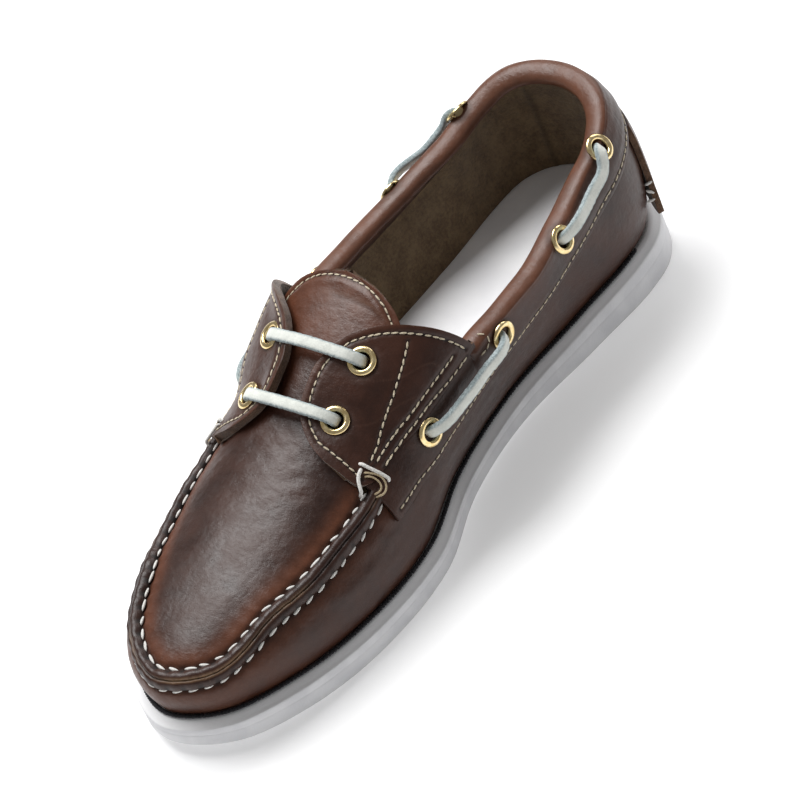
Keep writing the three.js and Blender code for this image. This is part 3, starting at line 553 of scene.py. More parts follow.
def sockPaint():
    paint = Paint("insole sock", {"Specular IOR Level": 0.35})
    soft, fine = paint.noise(22, 3.0), paint.noise(0.9, 3.0, 0.6)
    colour = paint.blend((0.84, 0.84, 0.86), (0.92, 0.92, 0.93), paint.step(soft, 0.35, 0.65))
    colour = paint.blend(colour, (0.42, 0.40, 0.38), paint.mark("shade"))
    dull = paint.step(fine, 0.3, 0.7, 0.5, 0.66)
    return paint.use(Base_Color=colour, Roughness=dull, Normal=paint.bump(fine, 0.04))


upperLeather = leather("pull-up leather", leatherTones, 0.75)
plugLeather = leather("plug leather", leatherTones, 0.6, bright=1.12)
wingLeather = leather("wing leather", leatherTones, 0.8, bright=1.15)
collarLeather = leather("collar leather", leatherTones, 0.7, bright=1.1)
rawEdge = fuzzy("raw leather edge", (0.055, 0.028, 0.016), (0.17, 0.095, 0.055), 0.7, 0.3)
underside = fuzzy("leather underside", (0.07, 0.04, 0.022), (0.16, 0.10, 0.06), 0.9, 0.25)
liningSuede = fuzzy("suede lining", (0.10, 0.062, 0.033), (0.205, 0.142, 0.078), 1.1, 0.3, (0.38, 0.24, 0.08))
rubber, brass, laceFinish, sock = rubberPaint(), brassPaint(), lacePaint(), sockPaint()
creamThread = threadPaint("cream thread", (0.50, 0.41, 0.28), (0.78, 0.70, 0.55), 0.35)
whiteThread = threadPaint("white waxed thread", (0.60, 0.58, 0.54), (0.88, 0.87, 0.84), 0.5)
tanThread = threadPaint("tan thread", (0.33, 0.25, 0.15), (0.55, 0.45, 0.30), 0.4)
weltThread = threadPaint("dark welt thread", (0.008, 0.008, 0.01), (0.045, 0.045, 0.05), 0.45)
print("materials ready")


# every stitched line is drawn on the last before the leather is shaped round it
seam = {
    "reach": 1.275, "out": 3.25, "pitch": 5.5, "stitch": 4.1, "thick": 0.62,
    "slant": -0.16, "sink": 0.30, "jitter": 0.8,
}
seamWallSide = {**seam, "stitch": seam["stitch"] * 0.92, "slant": 0.18, "sink": 0.35}
machine = {"pitch": 2.75, "stitch": 2.35, "thick": 0.33, "slant": 0.10, "sink": -0.14, "jitter": 0.5}

seamU = np.linspace(-seam["reach"], seam["reach"], 1100)
seamLine = lineAlong(seamU, soften(seamV(seamU), 40), 0.0)


def besideSeam(offset, lift):
    v = seamLine["v"]
    step = np.linalg.norm(onLast(seamU, np.minimum(v + 0.01, 1))[0] - onLast(seamU, v)[0], axis=-1) / 0.01
    return lineAlong(seamU, v + offset / step, lift)


# places that the straight rows of stitches on the medial wing run through
wingStitches = {
    "Single": """30.9 2.2 72.2  31.9 -3.3 68.6  32.4 -10.2 64.4  32.8 -16 60.8
        32.6 -23 55.8  32.8 -28.5 52.6  33.1 -35 50.4""",
    "Double": """39.6 9.5 60.4  39 1.4 59  38.3 -5.6 57.4  37.5 -12.6 55.7
        35.9 -20.2 53.3  34.5 -27 51.0  34.2 -34.5 49.3""",
    "Rear": """40.6 13.5 56.2  40.2 4.4 55.1  39.6 -2.7 54.4  38.9 -9.6 53.3
        38.0 -17.1 51.4  36.9 -23.5 49.2  36.0 -32 47.3""",
}
wingLines = [*wingStitches, "Edge"]
tabRows = table("y z", "22.0 57.2  23.6 56.4  24.2 54.8  23.2 52.9  21.0 52.2  18.8 52.4")
tongueRows = table("y half", """
    -46 32  -36 30.5  -28 29  -10 26.4  -2 27.4  3 26.6  7 22.6  9.8 16.4  11.6 9  12.6 1.2""")
wingRows = table("y inner low curl", """
    -43.0 29 47.6 0  -42.2 20.5 45.8 0  -38 12.2 44.6 0  -33 7.8 45 0  -27 5.9 46.2 0  -20 5.7 47.8 0
    -13 7.6 49.6 0  -6 12.2 51.2 0  1 20.6 52.8 0  8 29.6 54.2 0  14 35.3 55.4 0  20 38.8 56.4 0""")
wing = {
    "columns": 130, "rows": 92, "front": -42.9, "back": 18.2, "lift": 3.3, "wall": 0.0023, "stitchIn": 2.6,
    "tailY": -42.6, "tailZ": 46.4, "medialCurl": 0.96, "lateralCurl": 2.4, "lateralWall": 1.35,
}
throatEyelets = {
    "medial": "21.0 -10.5 72.4  19.6 -29.4 62.0",
    "lateral": "-18.6 -11.6 72.8  -18.4 -30.4 61.8",
}
sideEyelets = {
    "medial": "40.6 -12.4 45.8  40.8 30.2 50.4  39.2 70.2 56.6  33.5 105.0 66.6",
    "lateral": "-40.6 -16.6 45.0  -42 30.2 50.6  -38 70.2 56.4  -31 105.0 66.6",
}


def wingOutline(side, inward):  # the wing's edge, moved inward, from its rear corner round to the hand seam
    y = np.linspace(wing["back"] - 1.5, wing["front"] + 0.6, 240)
    u = side * atY(y)
    low = vAtHeight(u, look(wingRows, "low", y))
    inner = onLast(u, np.maximum(vAcross(u, look(wingRows, "inner", y)), low + 0.02), 0)[0]
    inner = curveThrough(inner[::8], 0.5)
    tailU = side * atY([wing["tailY"]])
    tail = onLast(tailU, vAtHeight(tailU, wing["tailZ"]))[0]
    path = np.vstack([inner, curveThrough(np.vstack([inner[-1:], tail]), 0.5)[1:]])
    u, v = locate(path)
    spots, normals, up = onLast(u, v)
    along = np.gradient(soften(spots, 6), axis=0)
    along /= np.linalg.norm(along, axis=1)[:, None]
    inwards = np.cross(normals, along) * side
    u, v = locate(spots + inwards * inward)
    return lineAlong(soften(u, 14), soften(v, 14), wing["lift"])


def tabLine(side):  # the small box of stitches that holds the front end of the roll
    u = side * atY(tabRows["y"])
    path = curveThrough(onLast(u, vAtHeight(u, tabRows["z"]))[0], 0.5)
    return lineAlong(*locate(path), 3.1)


def bandLine(above, lift):
    y = np.linspace(-37.6, 97.9, 300)
    u = np.concatenate([atY(y), np.linspace(2.005, 3.995, 200), 6 - atY(y[::-1])])
    u = np.where(u > 3, u - 6, u)
    return lineAlong(u, vAtHeight(u, look(collarRows, "low", yAt(u)) + above), lift)


def tongueLine(inward, lift):
    y = np.linspace(1.5, 12.0 - inward, 40)
    half = look(tongueRows, "half", y + inward * 0.55) - inward * np.clip((12 - y) / 6, 0.2, 1)
    y = np.concatenate([y, y[::-1]])
    half = np.concatenate([half, half[::-1]])
    side = np.repeat([-1.0, 1.0], 40)
    u = side * atY(y)
    path = onLast(u, vAcross(u, np.maximum(half, 0.0)))[0]
    u, v = locate(curveThrough(path[::4], 0.5))
    return lineAlong(u, v, lift)


lines = {
    "seamMiddle": seamLine, "seamPlug": besideSeam(seam["out"], 0.55),
    "seamWall": besideSeam(-seam["out"] - 0.3, 0.7),
}
for sideName, sideSign in (("medial", 1), ("lateral", -1)):
    for word, rows in wingStitches.items():
        lift = wing["lift"] - (0.1 if word == "Rear" else 0.0)
        lines[sideName + word] = lineOn(rows if sideSign > 0 else mirrored(rows), lift)
    lines[sideName + "Edge"] = wingOutline(sideSign, wing["stitchIn"])
    lines[sideName + "Tab"] = tabLine(sideSign)
lines["band"] = bandLine(2.5, 2.35)
lines["tongue"] = tongueLine(2.4, 0.05)
machineNames = [n for n in lines if not n.startswith("seam")]
print("seams drawn:", len(lines))


def groove(points, names, depth, width):  # how far the thread pulls the leather down, and its shade
    down, shade = np.zeros(len(points)), np.zeros(len(points))
    for name in names:
        away, run = nearest(points, lines[name])
        pull = fade(away, width)
        hole = 0.5 - 0.5 * np.cos(2 * math.pi * (run / machine["pitch"]))
        down = np.maximum(down, pull * depth * (0.55 + 0.45 * (1 - hole)))
        shade = np.maximum(shade, fade(away, width * 0.62) * (0.45 + 0.55 * (1 - hole)))
    return down, shade


def puckers(points, inner):  # short folds that the hand stitches pull into the leather beside the ridge
    away, run = nearest(points, lines["seamPlug" if inner else "seamWall"])
    beat = np.cos(2 * math.pi * run / seam["pitch"])
    uneven = 0.6 + 0.4 * np.sin(run / 17.0) * np.sin(run / 7.3 + 1)
    reach = np.exp(-away / (3.2 if inner else 2.6))
    fold = 0.34 * beat * uneven * reach - 0.75 * fade(away, 1.25)
    glow = fade(away - 3.0, 3.6) * (0.9 if inner else 0.45)
    return fold, glow, fade(away, 1.0) * (0.75 + 0.25 * beat)


def soles(u, inset, z):
    row = stationRow(lastRows, u)
    edge = np.interp(u, stationU, edgeReach) - inset
    return np.stack([row[..., 0] + row[..., 2] * edge, row[..., 1] + row[..., 3] * edge, z], -1)


def soleY(u):
    row = stationRow(lastRows, u)
    return row[..., 1] + row[..., 3] * np.interp(u, stationU, edgeReach)


# rubber outsole: t runs out along the flat, up the edge and in over the top
sole = {"columns": 620, "rows": 60, "side": table("t inset share drop", """
    0.30 1.1 0.0 0  0.33 0.35 0.03 0  0.36 0.0 0.09 0  0.45 0.0 0.30 0  0.55 0.0 0.56 0
    0.57 0.02 0.60 0  0.59 0.12 0.625 0  0.61 0.12 0.645 0  0.63 0.03 0.67 0  0.68 0.0 0.80 0
    0.74 0.1 0.93 0  0.77 0.45 1.0 0.35  0.80 1.1 1.0 0.1  0.84 3.2 1.0 -1.2  0.88 4.6 1.0 -1.5
    1.0 9.0 1.0 -0.2""")}


def placeSole(s, t):
    u = -3 + 6 * s
    y = soleY(u)
    top, under = look(soleRows, "top", y) - 1.6, look(soleRows, "under", y)
    side = sole["side"]
    inset, share = np.interp(t, side["t"], side["inset"]), np.interp(t, side["t"], side["share"])
    z = under + (top - under) * share - np.interp(t, side["t"], side["drop"])
    points = soles(u, inset, z)
    flatEnd = side["t"][0]
    row = stationRow(lastRows, u)
    spread = np.clip(t / flatEnd, 0, 1)
    reach = (np.interp(u, stationU, edgeReach) - side["inset"][0]) * spread
    base = np.stack([row[..., 0] + row[..., 2] * reach, row[..., 1] + row[..., 3] * reach, z], -1)
    base[:, 2] = look(soleRows, "under", base[:, 1]) + 0.7 * (ease(0.255, 0.262, t) - ease(0.272, 0.279, t))
    points = np.where((t < flatEnd)[:, None], base, points)
    points[:, 2] += 0.10 * wander(points, 30, 3) * ease(0.6, 0.7, t)
    # painted shade where the sole turns up from the floor, in the groove and under the upper
    paintedShade = fade(t - 0.335, 0.018) * 0.8 + fade(t - 0.60, 0.012) * 0.12 + ease(0.86, 0.9, t) * 0.7
    # painted light on the upward face of the ledge
    marks = {"ledge": ease(0.72, 0.78, t), "shade": np.clip(paintedShade, 0, 1), "tread": t < 0.25}
    return points, marks


soleMesh = gridPiece(sole["columns"], sole["rows"], placeSole)
finishPiece("rubber_outsole", soleMesh, [rubber], ["outsole"], closed=True)


# footbed: t runs from its middle to its edge, which turns down
insole = {
    "columns": 300, "rows": 26, "inset": 7.9, "dish": 0.9,
    "high": table("y high", "-134 2.8  -48 2.8  -22 4.4  14 8.2  50 9.4  136 9.4"),
}


def placeInsole(s, t):
    u = -3 + 6 * s
    row = stationRow(lastRows, u)
    share = np.interp(t, [0, 0.8, 0.92, 1.0], [0, 0.955, 0.993, 1.0])
    edge = np.interp(u, stationU, edgeReach) - insole["inset"]
    foot = np.stack([row[..., 0] + row[..., 2] * edge, row[..., 1] + row[..., 3] * edge], -1)
    top = look(soleRows, "top", foot[:, 1]) + look(insole["high"], "high", foot[:, 1])
    wide = onLast(u, vAtHeight(u, top), -2.0)[0][:, :2]
    widen = ease(-44, -8, foot[:, 1])[:, None]
    foot = foot * (1 - widen) + wide * widen
    spine = np.stack([row[..., 0], row[..., 1]], -1)
    flat = spine + (foot - spine) * share[:, None]
    drop = np.interp(t, [0, 0.8, 0.92, 0.96, 1.0], [0, 0, 0.25, 1.0, 2.4])
    dish = insole["dish"] * ease(40, 80, flat[:, 1]) * (1 - share**2)
    high = look(soleRows, "top", flat[:, 1]) + look(insole["high"], "high", flat[:, 1])
    points = np.column_stack([flat, high - drop - dish])
    points[:, 2] += 0.12 * wander(points, 26, 5)
    return points, {"shade": fade(t - 1, 0.05)}


insoleMesh = gridPiece(insole["columns"], insole["rows"], placeInsole)
finishPiece("insole_sock", insoleMesh, [sock], ["insole"])


# vamp and quarters: the wall of the shoe below the hand-sewn seam and the collar
wall = {"columns": 860, "rows": 68, "knots": [0, 0.86, 0.89, 0.97, 1.0], "thick": 1.3, "tuck": 4.5}


def wallTop(u):
    a = np.abs(u)
    seamTop = seamV(u)
    low = look(collarRows, "low", yAt(u))
    behind = ease(atY(6), atY(12), a)
    behindWing = look(wingRows, "low", yOf(a)) + 5
    under = vAtHeight(u, behindWing * (1 - behind) + (low + wall["tuck"]) * behind)
    mix = ease(1.235, 1.30, a)
    return seamTop * (1 - mix) + under * mix


def placeWall(s, t):
    u = -3 + 6 * s
    climb = np.interp(t, wall["knots"], [0, 1, 1, 0, 0])
    v = climb * wallTop(u)
    points, normals, up = onLast(u, v, 0.0)
    outer = t <= wall["knots"][1]
    a = np.abs(u)
    fold, glow, dark = puckers(points, False)
    front = (1 - ease(1.25, 1.31, a)) * outer
    waist = ease(0.9, 1.2, a) * (1 - ease(1.6, 1.9, a)) * np.sin(np.pi * np.clip(climb, 0, 1))
    lift = fold * front + 0.28 * wander(points, 40, 11) * np.clip(climb * 3, 0, 1)
    lift = lift - 0.25 * waist * wander(points * [1, 1, 2.5], 15, 12)
    toe = (1 - ease(0.7, 1.1, a)) * fade(climb - 0.42, 0.3)
    lift = lift + 0.3 * toe
    lift = np.where(outer, lift, -wall["thick"])
    foot = fade(climb, 0.06)
    glow = np.clip(glow * front + 0.34 * toe + 0.10, 0, 1)
    shade = np.clip(dark * front + 0.5 * foot, 0, 1)
    rubAndSheen = 0.25 * fade(climb - 0.14, 0.07) * ease(0.2, 0.8, np.abs(wander(points, 13, 13)))
    return points + normals * lift[:, None], {"glow": glow, "shade": shade, "rubAndSheen": rubAndSheen}


wallMesh = gridPiece(wall["columns"], wall["rows"], placeWall)
finishPiece("vamp_and_quarters", wallMesh, [upperLeather], ["upper"], closed=True)


# lining: what shows inside the collar
lining = {"columns": 420, "rows": 54, "knots": [0, 0.84, 0.88, 0.96, 1.0], "near": -1.9, "far": -1.2}
throatRows = table("y half", """
    -35 0  -34 8.6  -31 16  -24 21.5  -10 26.0  -2 28.4  3 30  7 32.4  12 36  16 39.6  20 41.4  26 41.4""")


def liningTop(u):
    a = np.abs(u)
    throat = vAcross(u, look(throatRows, "half", yOf(a)))
    collarTop = vAtHeight(u, look(collarRows, "top", yAt(u)) - 3.0)
    mix = ease(atY(15.6), atY(18.4), a)
    return np.where(a < atY(-35), 1.0, throat * (1 - mix) + collarTop * mix)


def placeLining(s, t):
    u = -3 + 6 * s
    climb = np.interp(t, lining["knots"], [0.015, 1, 1, 0.015, 0.015])
    inner = t <= lining["knots"][1]
    points, normals, up = onLast(u, climb * liningTop(u), 0.0)
    face = lining["near"] - 0.35 * np.abs(wander(points, 34, 21)) - 0.6 * fade(climb, 0.05)
    lift = np.where(inner, face, lining["far"])
    seamBack = np.exp(-((np.abs(np.abs(u) - 2.62) * 46) ** 2))
    lift = lift - 0.5 * seamBack * inner
    # painted light: the top of the lining in the rear half is tinted golden and lighter, raggedly
    ragged = np.abs(wander(points, 5, 22))
    glow = np.clip(fade(1 - climb, 0.09) * (0.5 + ragged), 0, 1) * ease(1.5, 1.7, np.abs(u))
    return points + normals * lift[:, None], {"glow": glow, "shade": np.clip(0.5 * seamBack, 0, 1)}


liningMesh = gridPiece(lining["columns"], lining["rows"], placeLining)
finishPiece("suede_lining", liningMesh, [liningSuede])


# plug and tongue: the top of the vamp, running up into the tongue
plug = {"columns": 560, "rows": 52, "end": float(atY(12.6)), "wall": 0.0019, "crest": 0.45}


def placePlug(s, t):
    u = plug["end"] * (2 * s - 1)
    a = np.abs(u)
    y = yOf(a)
    mix = ease(atY(-46), atY(-42), a)
    foot = seamV(u) * (1 - mix) + vAcross(u, look(tongueRows, "half", y)) * mix
    v = foot + (1 - foot) * t
    points, normals, up = onLast(u, v, 0.0)
    fold, glow, dark = puckers(points, True)
    front = 1 - ease(1.25, 1.31, a)
    down, stitched = groove(points, ["tongue"], 0.5, 0.85)
    edge = nearest(points, lines["tongue"])[0]
    lip = 0.35 * fade(edge - 2.0, 1.6) * ease(-2, 6, points[:, 1])
    crest = plug["crest"] * fade(points[:, 0], 16) * (1 - ease(-60, -30, points[:, 1]))
    bow = points[:, 1] - 5.0 + 0.010 * (points[:, 0] - 6) ** 2  # the curved crease across the tongue
    crease = fade(bow, 0.55) * fade(points[:, 0] - 8, 15)
    lift = fold * front - down + lip + crest + 0.26 * wander(points, 30, 31) - 0.25 * crease
    lift = lift - 0.13 * wander(points * [1, 2.4, 1], 9, 32) * fade(points[:, 1] + 44, 16)
    shade = np.clip(dark * front + stitched + 0.35 * crease, 0, 1)
    rubAndSheen = 0.7 * fade(bow - 0.9, 0.5) * fade(points[:, 0] - 8, 15)
    rubAndSheen = rubAndSheen + 0.6 * fade(bow - 4.6, 0.35) * fade(points[:, 0] - 14, 9)
    glow = np.clip(glow * front + 0.75 * ease(-34, -4, points[:, 1]), 0, 1)
    return points + normals * lift[:, None], {"glow": glow, "shade": shade, "rubAndSheen": np.clip(rubAndSheen, 0, 1)}


plugMesh = gridPiece(plug["columns"], plug["rows"], placePlug)
plugLayers = [plugLeather, rawEdge, underside]
finishPiece("plug_and_tongue", plugMesh, plugLayers, ["tongue"], wall=plug["wall"])


# the ridge where plug and wall are sewn together by hand
ridge = {"columns": 900, "rows": 32, "wide": 6.0, "high": 2.9, "shape": table("across up tan shade", """
    -0.52 -0.35 0 1  -0.56 0.15 0 0.5  -0.50 0.48 0 0  -0.36 0.78 0 0  -0.20 0.92 0 0  -0.08 0.90 0.5 0
    -0.035 0.80 1 0.4  0.0 0.74 1 0.8  0.035 0.84 1 0.3  0.10 0.98 0.4 0  0.22 1.0 0 0  0.38 0.84 0 0
    0.50 0.5 0 0  0.55 0.15 0 0.5  0.50 -0.35 0 1  0.0 -0.4 0 1  -0.52 -0.35 0 1""")}


def placeRidge(s, t):
    shape = ridge["shape"]
    knot = t * (len(shape["up"]) - 1)
    spot = {k: np.interp(knot, np.arange(len(shape["up"])), shape[k]) for k in shape}
    u = seam["reach"] * (2 * s - 1)
    v = np.interp(u, seamU, lines["seamMiddle"]["v"])
    run = np.interp(u, seamU, lines["seamMiddle"]["run"])
    points, normals, up = onLast(u, v, 0.0)
    beat = np.cos(2 * math.pi * run / seam["pitch"] + np.where(spot["across"] > 0, 0.5, -0.3))
    uneven = 1 + 0.05 * np.sin(run / 5.1 + 2 * np.sin(run / 23)) + 0.03 * np.sin(run / 2.9)
    wide = ridge["wide"] * (1 - 0.035 * beat) * (1 + 0.03 * np.sin(run / 9))
    high = ridge["high"] * (0.96 - 0.045 * beat) * uneven
    high = high * (1 - 0.45 * ease(seam["reach"] - 0.02, seam["reach"], np.abs(u)))
    sway = 0.25 * np.sin(run / 13.0) + 0.1 * np.sin(run / 4.7)
    sideways = spot["across"] * wide + sway * (spot["up"] > 0.6)
    points = points + up * sideways[:, None] + normals * (spot["up"] * high)[:, None]
    crimp = ease(0.1, 1.0, beat) * (1 - ease(0.55, 0.95, spot["up"]))
    tan = spot["tan"] * ease(-0.5, 0.7, np.sin(run / 19.0 + 1.2) + 0.6 * np.sin(run / 6.1))
    shade = np.clip(spot["shade"] + 0.75 * crimp, 0, 1)
    return points, {"glow": np.zeros(len(tan)), "rubAndSheen": np.clip(tan, 0, 1), "shade": shade}


ridgeLeather = leather("ridge leather", {**leatherTones, "wornAndLit": (0.42, 0.25, 0.13)}, grain=0.8, bright=0.9)
ridgeMesh = gridPiece(ridge["columns"], ridge["rows"], placeRidge)
finishPiece("hand_sewn_ridge", ridgeMesh, [ridgeLeather], ["plug_seam_ridge"], closed=True)


def pits(points, rows):  # the leather is pressed down round each eyelet and opens in its middle
    spots = np.array(rows.split(), float).reshape(-1, 3)
    u, v = locate(spots)
    centres = onLast(u, v, wing["lift"])[0]
    away = np.min([np.linalg.norm(points - c, axis=1) for c in centres], axis=0)
    ring = fade(away - 5.4, 1.1)
    return 0.35 * np.exp(-((away / 6.0) ** 4)) + 3.4 * (1 - ease(2.2, 3.0, away)), ring


def placeWing(side, name):
    def place(s, t):
        s = s if side > 0 else 1 - s
        ends = np.interp(s, [0, 0.12, 0.88, 1], [0, 0.035, 0.93, 1])
        y = wing["front"] + (wing["back"] - wing["front"]) * ends
        u = side * atY(y)
        low, high = vAtHeight(u, look(wingRows, "low", y)), vAcross(u, look(wingRows, "inner", y))
        v = low + (np.maximum(high, low + 0.02) - low) * t
        points, normals, up = onLast(u, v, wing["lift"])
        down, stitched = groove(points, [name + word for word in wingLines], 0.5, 0.9)
        pit, ring = pits(points, throatEyelets[name])
        curl = wing[name + "Curl"] * ease(0.62, 1.0, t) ** 2 * ease(-44, -30, y) * (1 - ease(2, 16, y))
        below = points[:, 2] < look(wingRows, "low", y) + 1.9
        step = 0.14 * ease(0.5, 2.0, nearest(points, lines[name + "Rear"])[0] * below)
        lift = curl - down - pit + 0.22 * wander(points, 22, 41 + side) - step
        scuff = fade(wander(points, 20, 43 + side) - 0.25, 0.03)
        shade = np.clip(stitched + 0.55 * ring + 0.5 * (pit > 1.5), 0, 1)
        edgeGlow = fade(1 - t, 0.07)
        glow = np.clip(0.25 * edgeGlow + 0.35 * ring + 0.08, 0, 1)
        rubAndSheen = np.clip(scuff * 0.18 + 0.5 * edgeGlow * ease(0.2, 1, wander(points, 9, 44)), 0, 1)
        return points + normals * lift[:, None], {"glow": glow, "shade": shade, "rubAndSheen": rubAndSheen}
    return place


for sideName, sideSign in (("medial", 1), ("lateral", -1)):
    wingMesh = gridPiece(wing["columns"], wing["rows"], placeWing(sideSign, sideName))
    wingLayers = [wingLeather, rawEdge, underside]
    thick = wing["wall"] * (wing["lateralWall"] if sideSign < 0 else 1.0)
    finishPiece(f"wing_leather_{sideName}", wingMesh, wingLayers, [f"wing_{sideName}"], wall=thick)


# padded collar: one skin from the stitched lower edge over the roll to the lining
# t climbs the outer face, turns over the roll, drops down its inner side and comes back behind the face
collar = {
    "columns": 620, "rows": 92, "front": -40.4, "rollFrom": 14.8, "rollFull": 17.8,
    "outer": 3.0, "inner": -5.9, "tall": 3.3, "drop": 5.5, "seat": 0.8,
    "faceEnd": 0.46, "rollEnd": 0.76, "innerEnd": 0.86,
}


def placeCollar(s, t):
    h = 2 * s - 1
    start = float(atY(collar["front"]))
    a = np.interp(np.abs(h), [0, 0.62, 0.80, 1], [3, float(atY(21)), float(atY(12)), start])
    u = a * np.where(h < 0, -1, 1)
    y, stationAt = yAt(u), yOf(a)
    grown = np.clip((stationAt - collar["rollFrom"]) / (collar["rollFull"] - collar["rollFrom"]), 0, 1)
    full = np.sqrt(1 - (1 - grown) ** 2)
    low = look(collarRows, "low", y)
    lowV = vAtHeight(u, low)
    topRear = look(collarRows, "top", y) - collar["tall"]
    topFront = look(wingRows, "low", stationAt) + 2.4
    topZ = topFront * (1 - full) + topRear * full
    seatV = vAtHeight(u, topZ)
    faceEnd, rollEnd, innerEnd, seat = (collar[k] for k in ("faceEnd", "rollEnd", "innerEnd", "seat"))
    face = np.interp(t, [0, faceEnd], [0, 1])
    faceShare = np.interp(face, [0, 0.02, 0.05, 1], [0, 0.0, 0.02, 1])
    v = lowV + (seatV - lowV) * faceShare
    z = low + (topZ - low) * faceShare
    bulge = np.interp(face, [0, 0.02, 0.05, 0.16, 0.45, 1], [0.2, 1.5, 1.9, 2.35, 3.0, collar["outer"]])
    tuck = ease(0.2, 3.2, topZ - z)
    slack = seat + (np.minimum(bulge, 2.5) - seat) * np.where(face < 0.03, 1, tuck)
    bulge = bulge * full + (1 - full) * slack
    points, normals, up = onLast(u, v, bulge)
    seatPoint, seatNormal, seatUp = onLast(u, seatV, 0.0)
    turn = np.interp(t, [faceEnd, rollEnd], [0, math.pi])
    middle, half = (collar["outer"] + collar["inner"]) / 2, (collar["outer"] - collar["inner"]) / 2
    cosTurn, sinTurn = np.sign(np.cos(turn)) * np.abs(np.cos(turn)) ** 0.86, np.abs(np.sin(turn)) ** 0.86
    across = seat * (1 - full) + (middle + half * cosTurn) * full
    plump = 1 + 0.03 * wander(seatPoint, 24, 51)
    over = collar["tall"] * sinTurn * full * plump
    rolled = seatPoint + seatNormal * (across * plump)[:, None] + seatUp * over[:, None]
    points = np.where((t > faceEnd)[:, None], rolled, points)
    inside = np.interp(t, [rollEnd, innerEnd], [0, 1])
    flat = seat * (1 - full)
    dropLift = (flat + collar["inner"] * full) * (1 - inside) + inside * (flat - 2.2 * full)
    dropped = seatPoint + seatNormal * dropLift[:, None] - seatUp * (collar["drop"] * inside * full)[:, None]
    points = np.where((t > rollEnd)[:, None], dropped, points)
    back = np.interp(t, [innerEnd, 1.0], [0, 1])
    backV = vAtHeight(u, (topZ - collar["drop"] * full) * (1 - back) + low * back)
    backPoint = onLast(u, backV, (flat - full) * (1 - back) + 0.2 * back)[0]
    points = np.where((t > innerEnd)[:, None], backPoint, points)
    down, stitched = groove(points, ["band"], 0.5, 0.95)
    eyeletPit, ring = pits(points, sideEyelets["medial"] + "  " + sideEyelets["lateral"])
    soft = 0.3 * wander(points, 26, 52)
    soft = soft + 0.12 * wander(points * [1, 1, 1.6], 8, 53) * ease(-10, 20, points[:, 1])
    lift = soft * ease(0.06, 0.14, t) - down - np.minimum(eyeletPit, 1.2)
    points = points + normals * np.where(t < 0.5, lift, 0.0)[:, None]
    # painted highlight: the crown of the roll and the top of the outer face are painted lighter and warmer,
    # where the light falls on the roll
    crown = ease(0.44, 0.56, t) * (1 - ease(0.72, 0.8, t)) * full
    shade = np.clip(stitched + 0.4 * ring + 0.55 * fade(t, 0.02) + 0.4 * ease(0.78, 0.84, t), 0, 1)
    glow = np.clip(0.85 * crown + 0.22 * ease(0.25, 0.46, t) * full + 0.06, 0, 1)
    return points, {"glow": glow, "shade": shade, "rubAndSheen": np.clip(0.4 * crown + 0.12 * ring, 0, 1)}


collarMesh = gridPiece(collar["columns"], collar["rows"], placeCollar)
collarNodes = ["collar_band", "collar_roll"]
paddedCollar = finishPiece("padded_collar", collarMesh, [collarLeather], collarNodes, closed=True)


# heel patch, whose lower corners flare; its corner stitches are height, reach and slant
heelPatch = {
    "columns": 150, "rows": 56, "foot": 22.3, "flare": 3.4, "wall": 0.0022, "lift": 2.4,
    "cornerStitches": ((26.5, 0.552, 0.5), (30.0, 0.547, -0.4), (33.5, 0.542, 0.5)),
}


def placeHeelPatch(s, t):
    h = 1 - 2 * s
    side = np.where(h < 0, -1.0, 1.0)
    a = 3 - (0.55 - 0.08 * t) * np.abs(h)
    u = a * side
    high = look(collarRows, "low", yAt(u)) + 1.2
    z = heelPatch["foot"] + (high - heelPatch["foot"]) * t
    points, normals, up = onLast(u, vAtHeight(u, z), heelPatch["lift"])
    flare = heelPatch["flare"] * np.abs(h) ** 8 * (1 - t) ** 4
    tuck = -1.8 * ease(0.93, 1.0, t)
    lift = flare + tuck + 0.2 * wander(points, 20, 61)
    edge = np.maximum(fade(1 - np.abs(h), 0.05), fade(t, 0.05))
    marks = {"glow": 0.5 * edge, "shade": ease(0.9, 1.0, t), "rubAndSheen": 0.35 * edge}
    return points + normals * lift[:, None], marks


heelMesh = gridPiece(heelPatch["columns"], heelPatch["rows"], placeHeelPatch)
heelLayers = [collarLeather, rawEdge, underside]
finishPiece("heel_patch", heelMesh, heelLayers, ["heel_kicker"], wall=heelPatch["wall"])


def addStitch(mesh, middle, along, normal, length, thick):  # one stitch, a fifth thinner than it is wide
    along, normal = Vector(along).normalized(), Vector(normal).normalized()
    over = normal.cross(along).normalized()
    normal = along.cross(over)
    turn = Matrix((along, over, normal)).transposed().to_4x4()
    size = Matrix.Diagonal((length / 2000, thick / 1000, thick * 0.8 / 1000, 1))
    place = Matrix.Translation(Vector(metres(middle))) @ turn @ size @ Matrix.Rotation(math.pi / 2, 4, "Y")
    bmesh.ops.create_uvsphere(mesh, u_segments=8, v_segments=7, radius=1.0, matrix=place)


def partWay(line, key, at):
    return np.array([np.interp(at, line["run"], line[key][:, k]) for k in range(3)])


def stitchRun(mesh, line, kind, seed):  # stitches of one kind along a line, each a little uneven
    pick = np.random.default_rng(seed)
    pitch, jitter = kind["pitch"], kind["jitter"]
    for at in np.arange(pitch * 0.5, line["run"][-1] - pitch * 0.3, pitch):
        at = at + pick.normal() * jitter * 0.3
        ahead = partWay(line, "points", at + 0.8) - partWay(line, "points", at - 0.8)
        normal = partWay(line, "normals", at)
        ahead /= np.linalg.norm(ahead)
        sideways = np.cross(normal, ahead)
        ahead = ahead + sideways * (kind["slant"] + pick.normal() * jitter * 0.12)
        length = kind["stitch"] * (1 + pick.normal() * jitter * 0.12)
        middle = partWay(line, "points", at) - normal * kind["sink"]
        addStitch(mesh, middle, ahead, normal, length, kind["thick"])


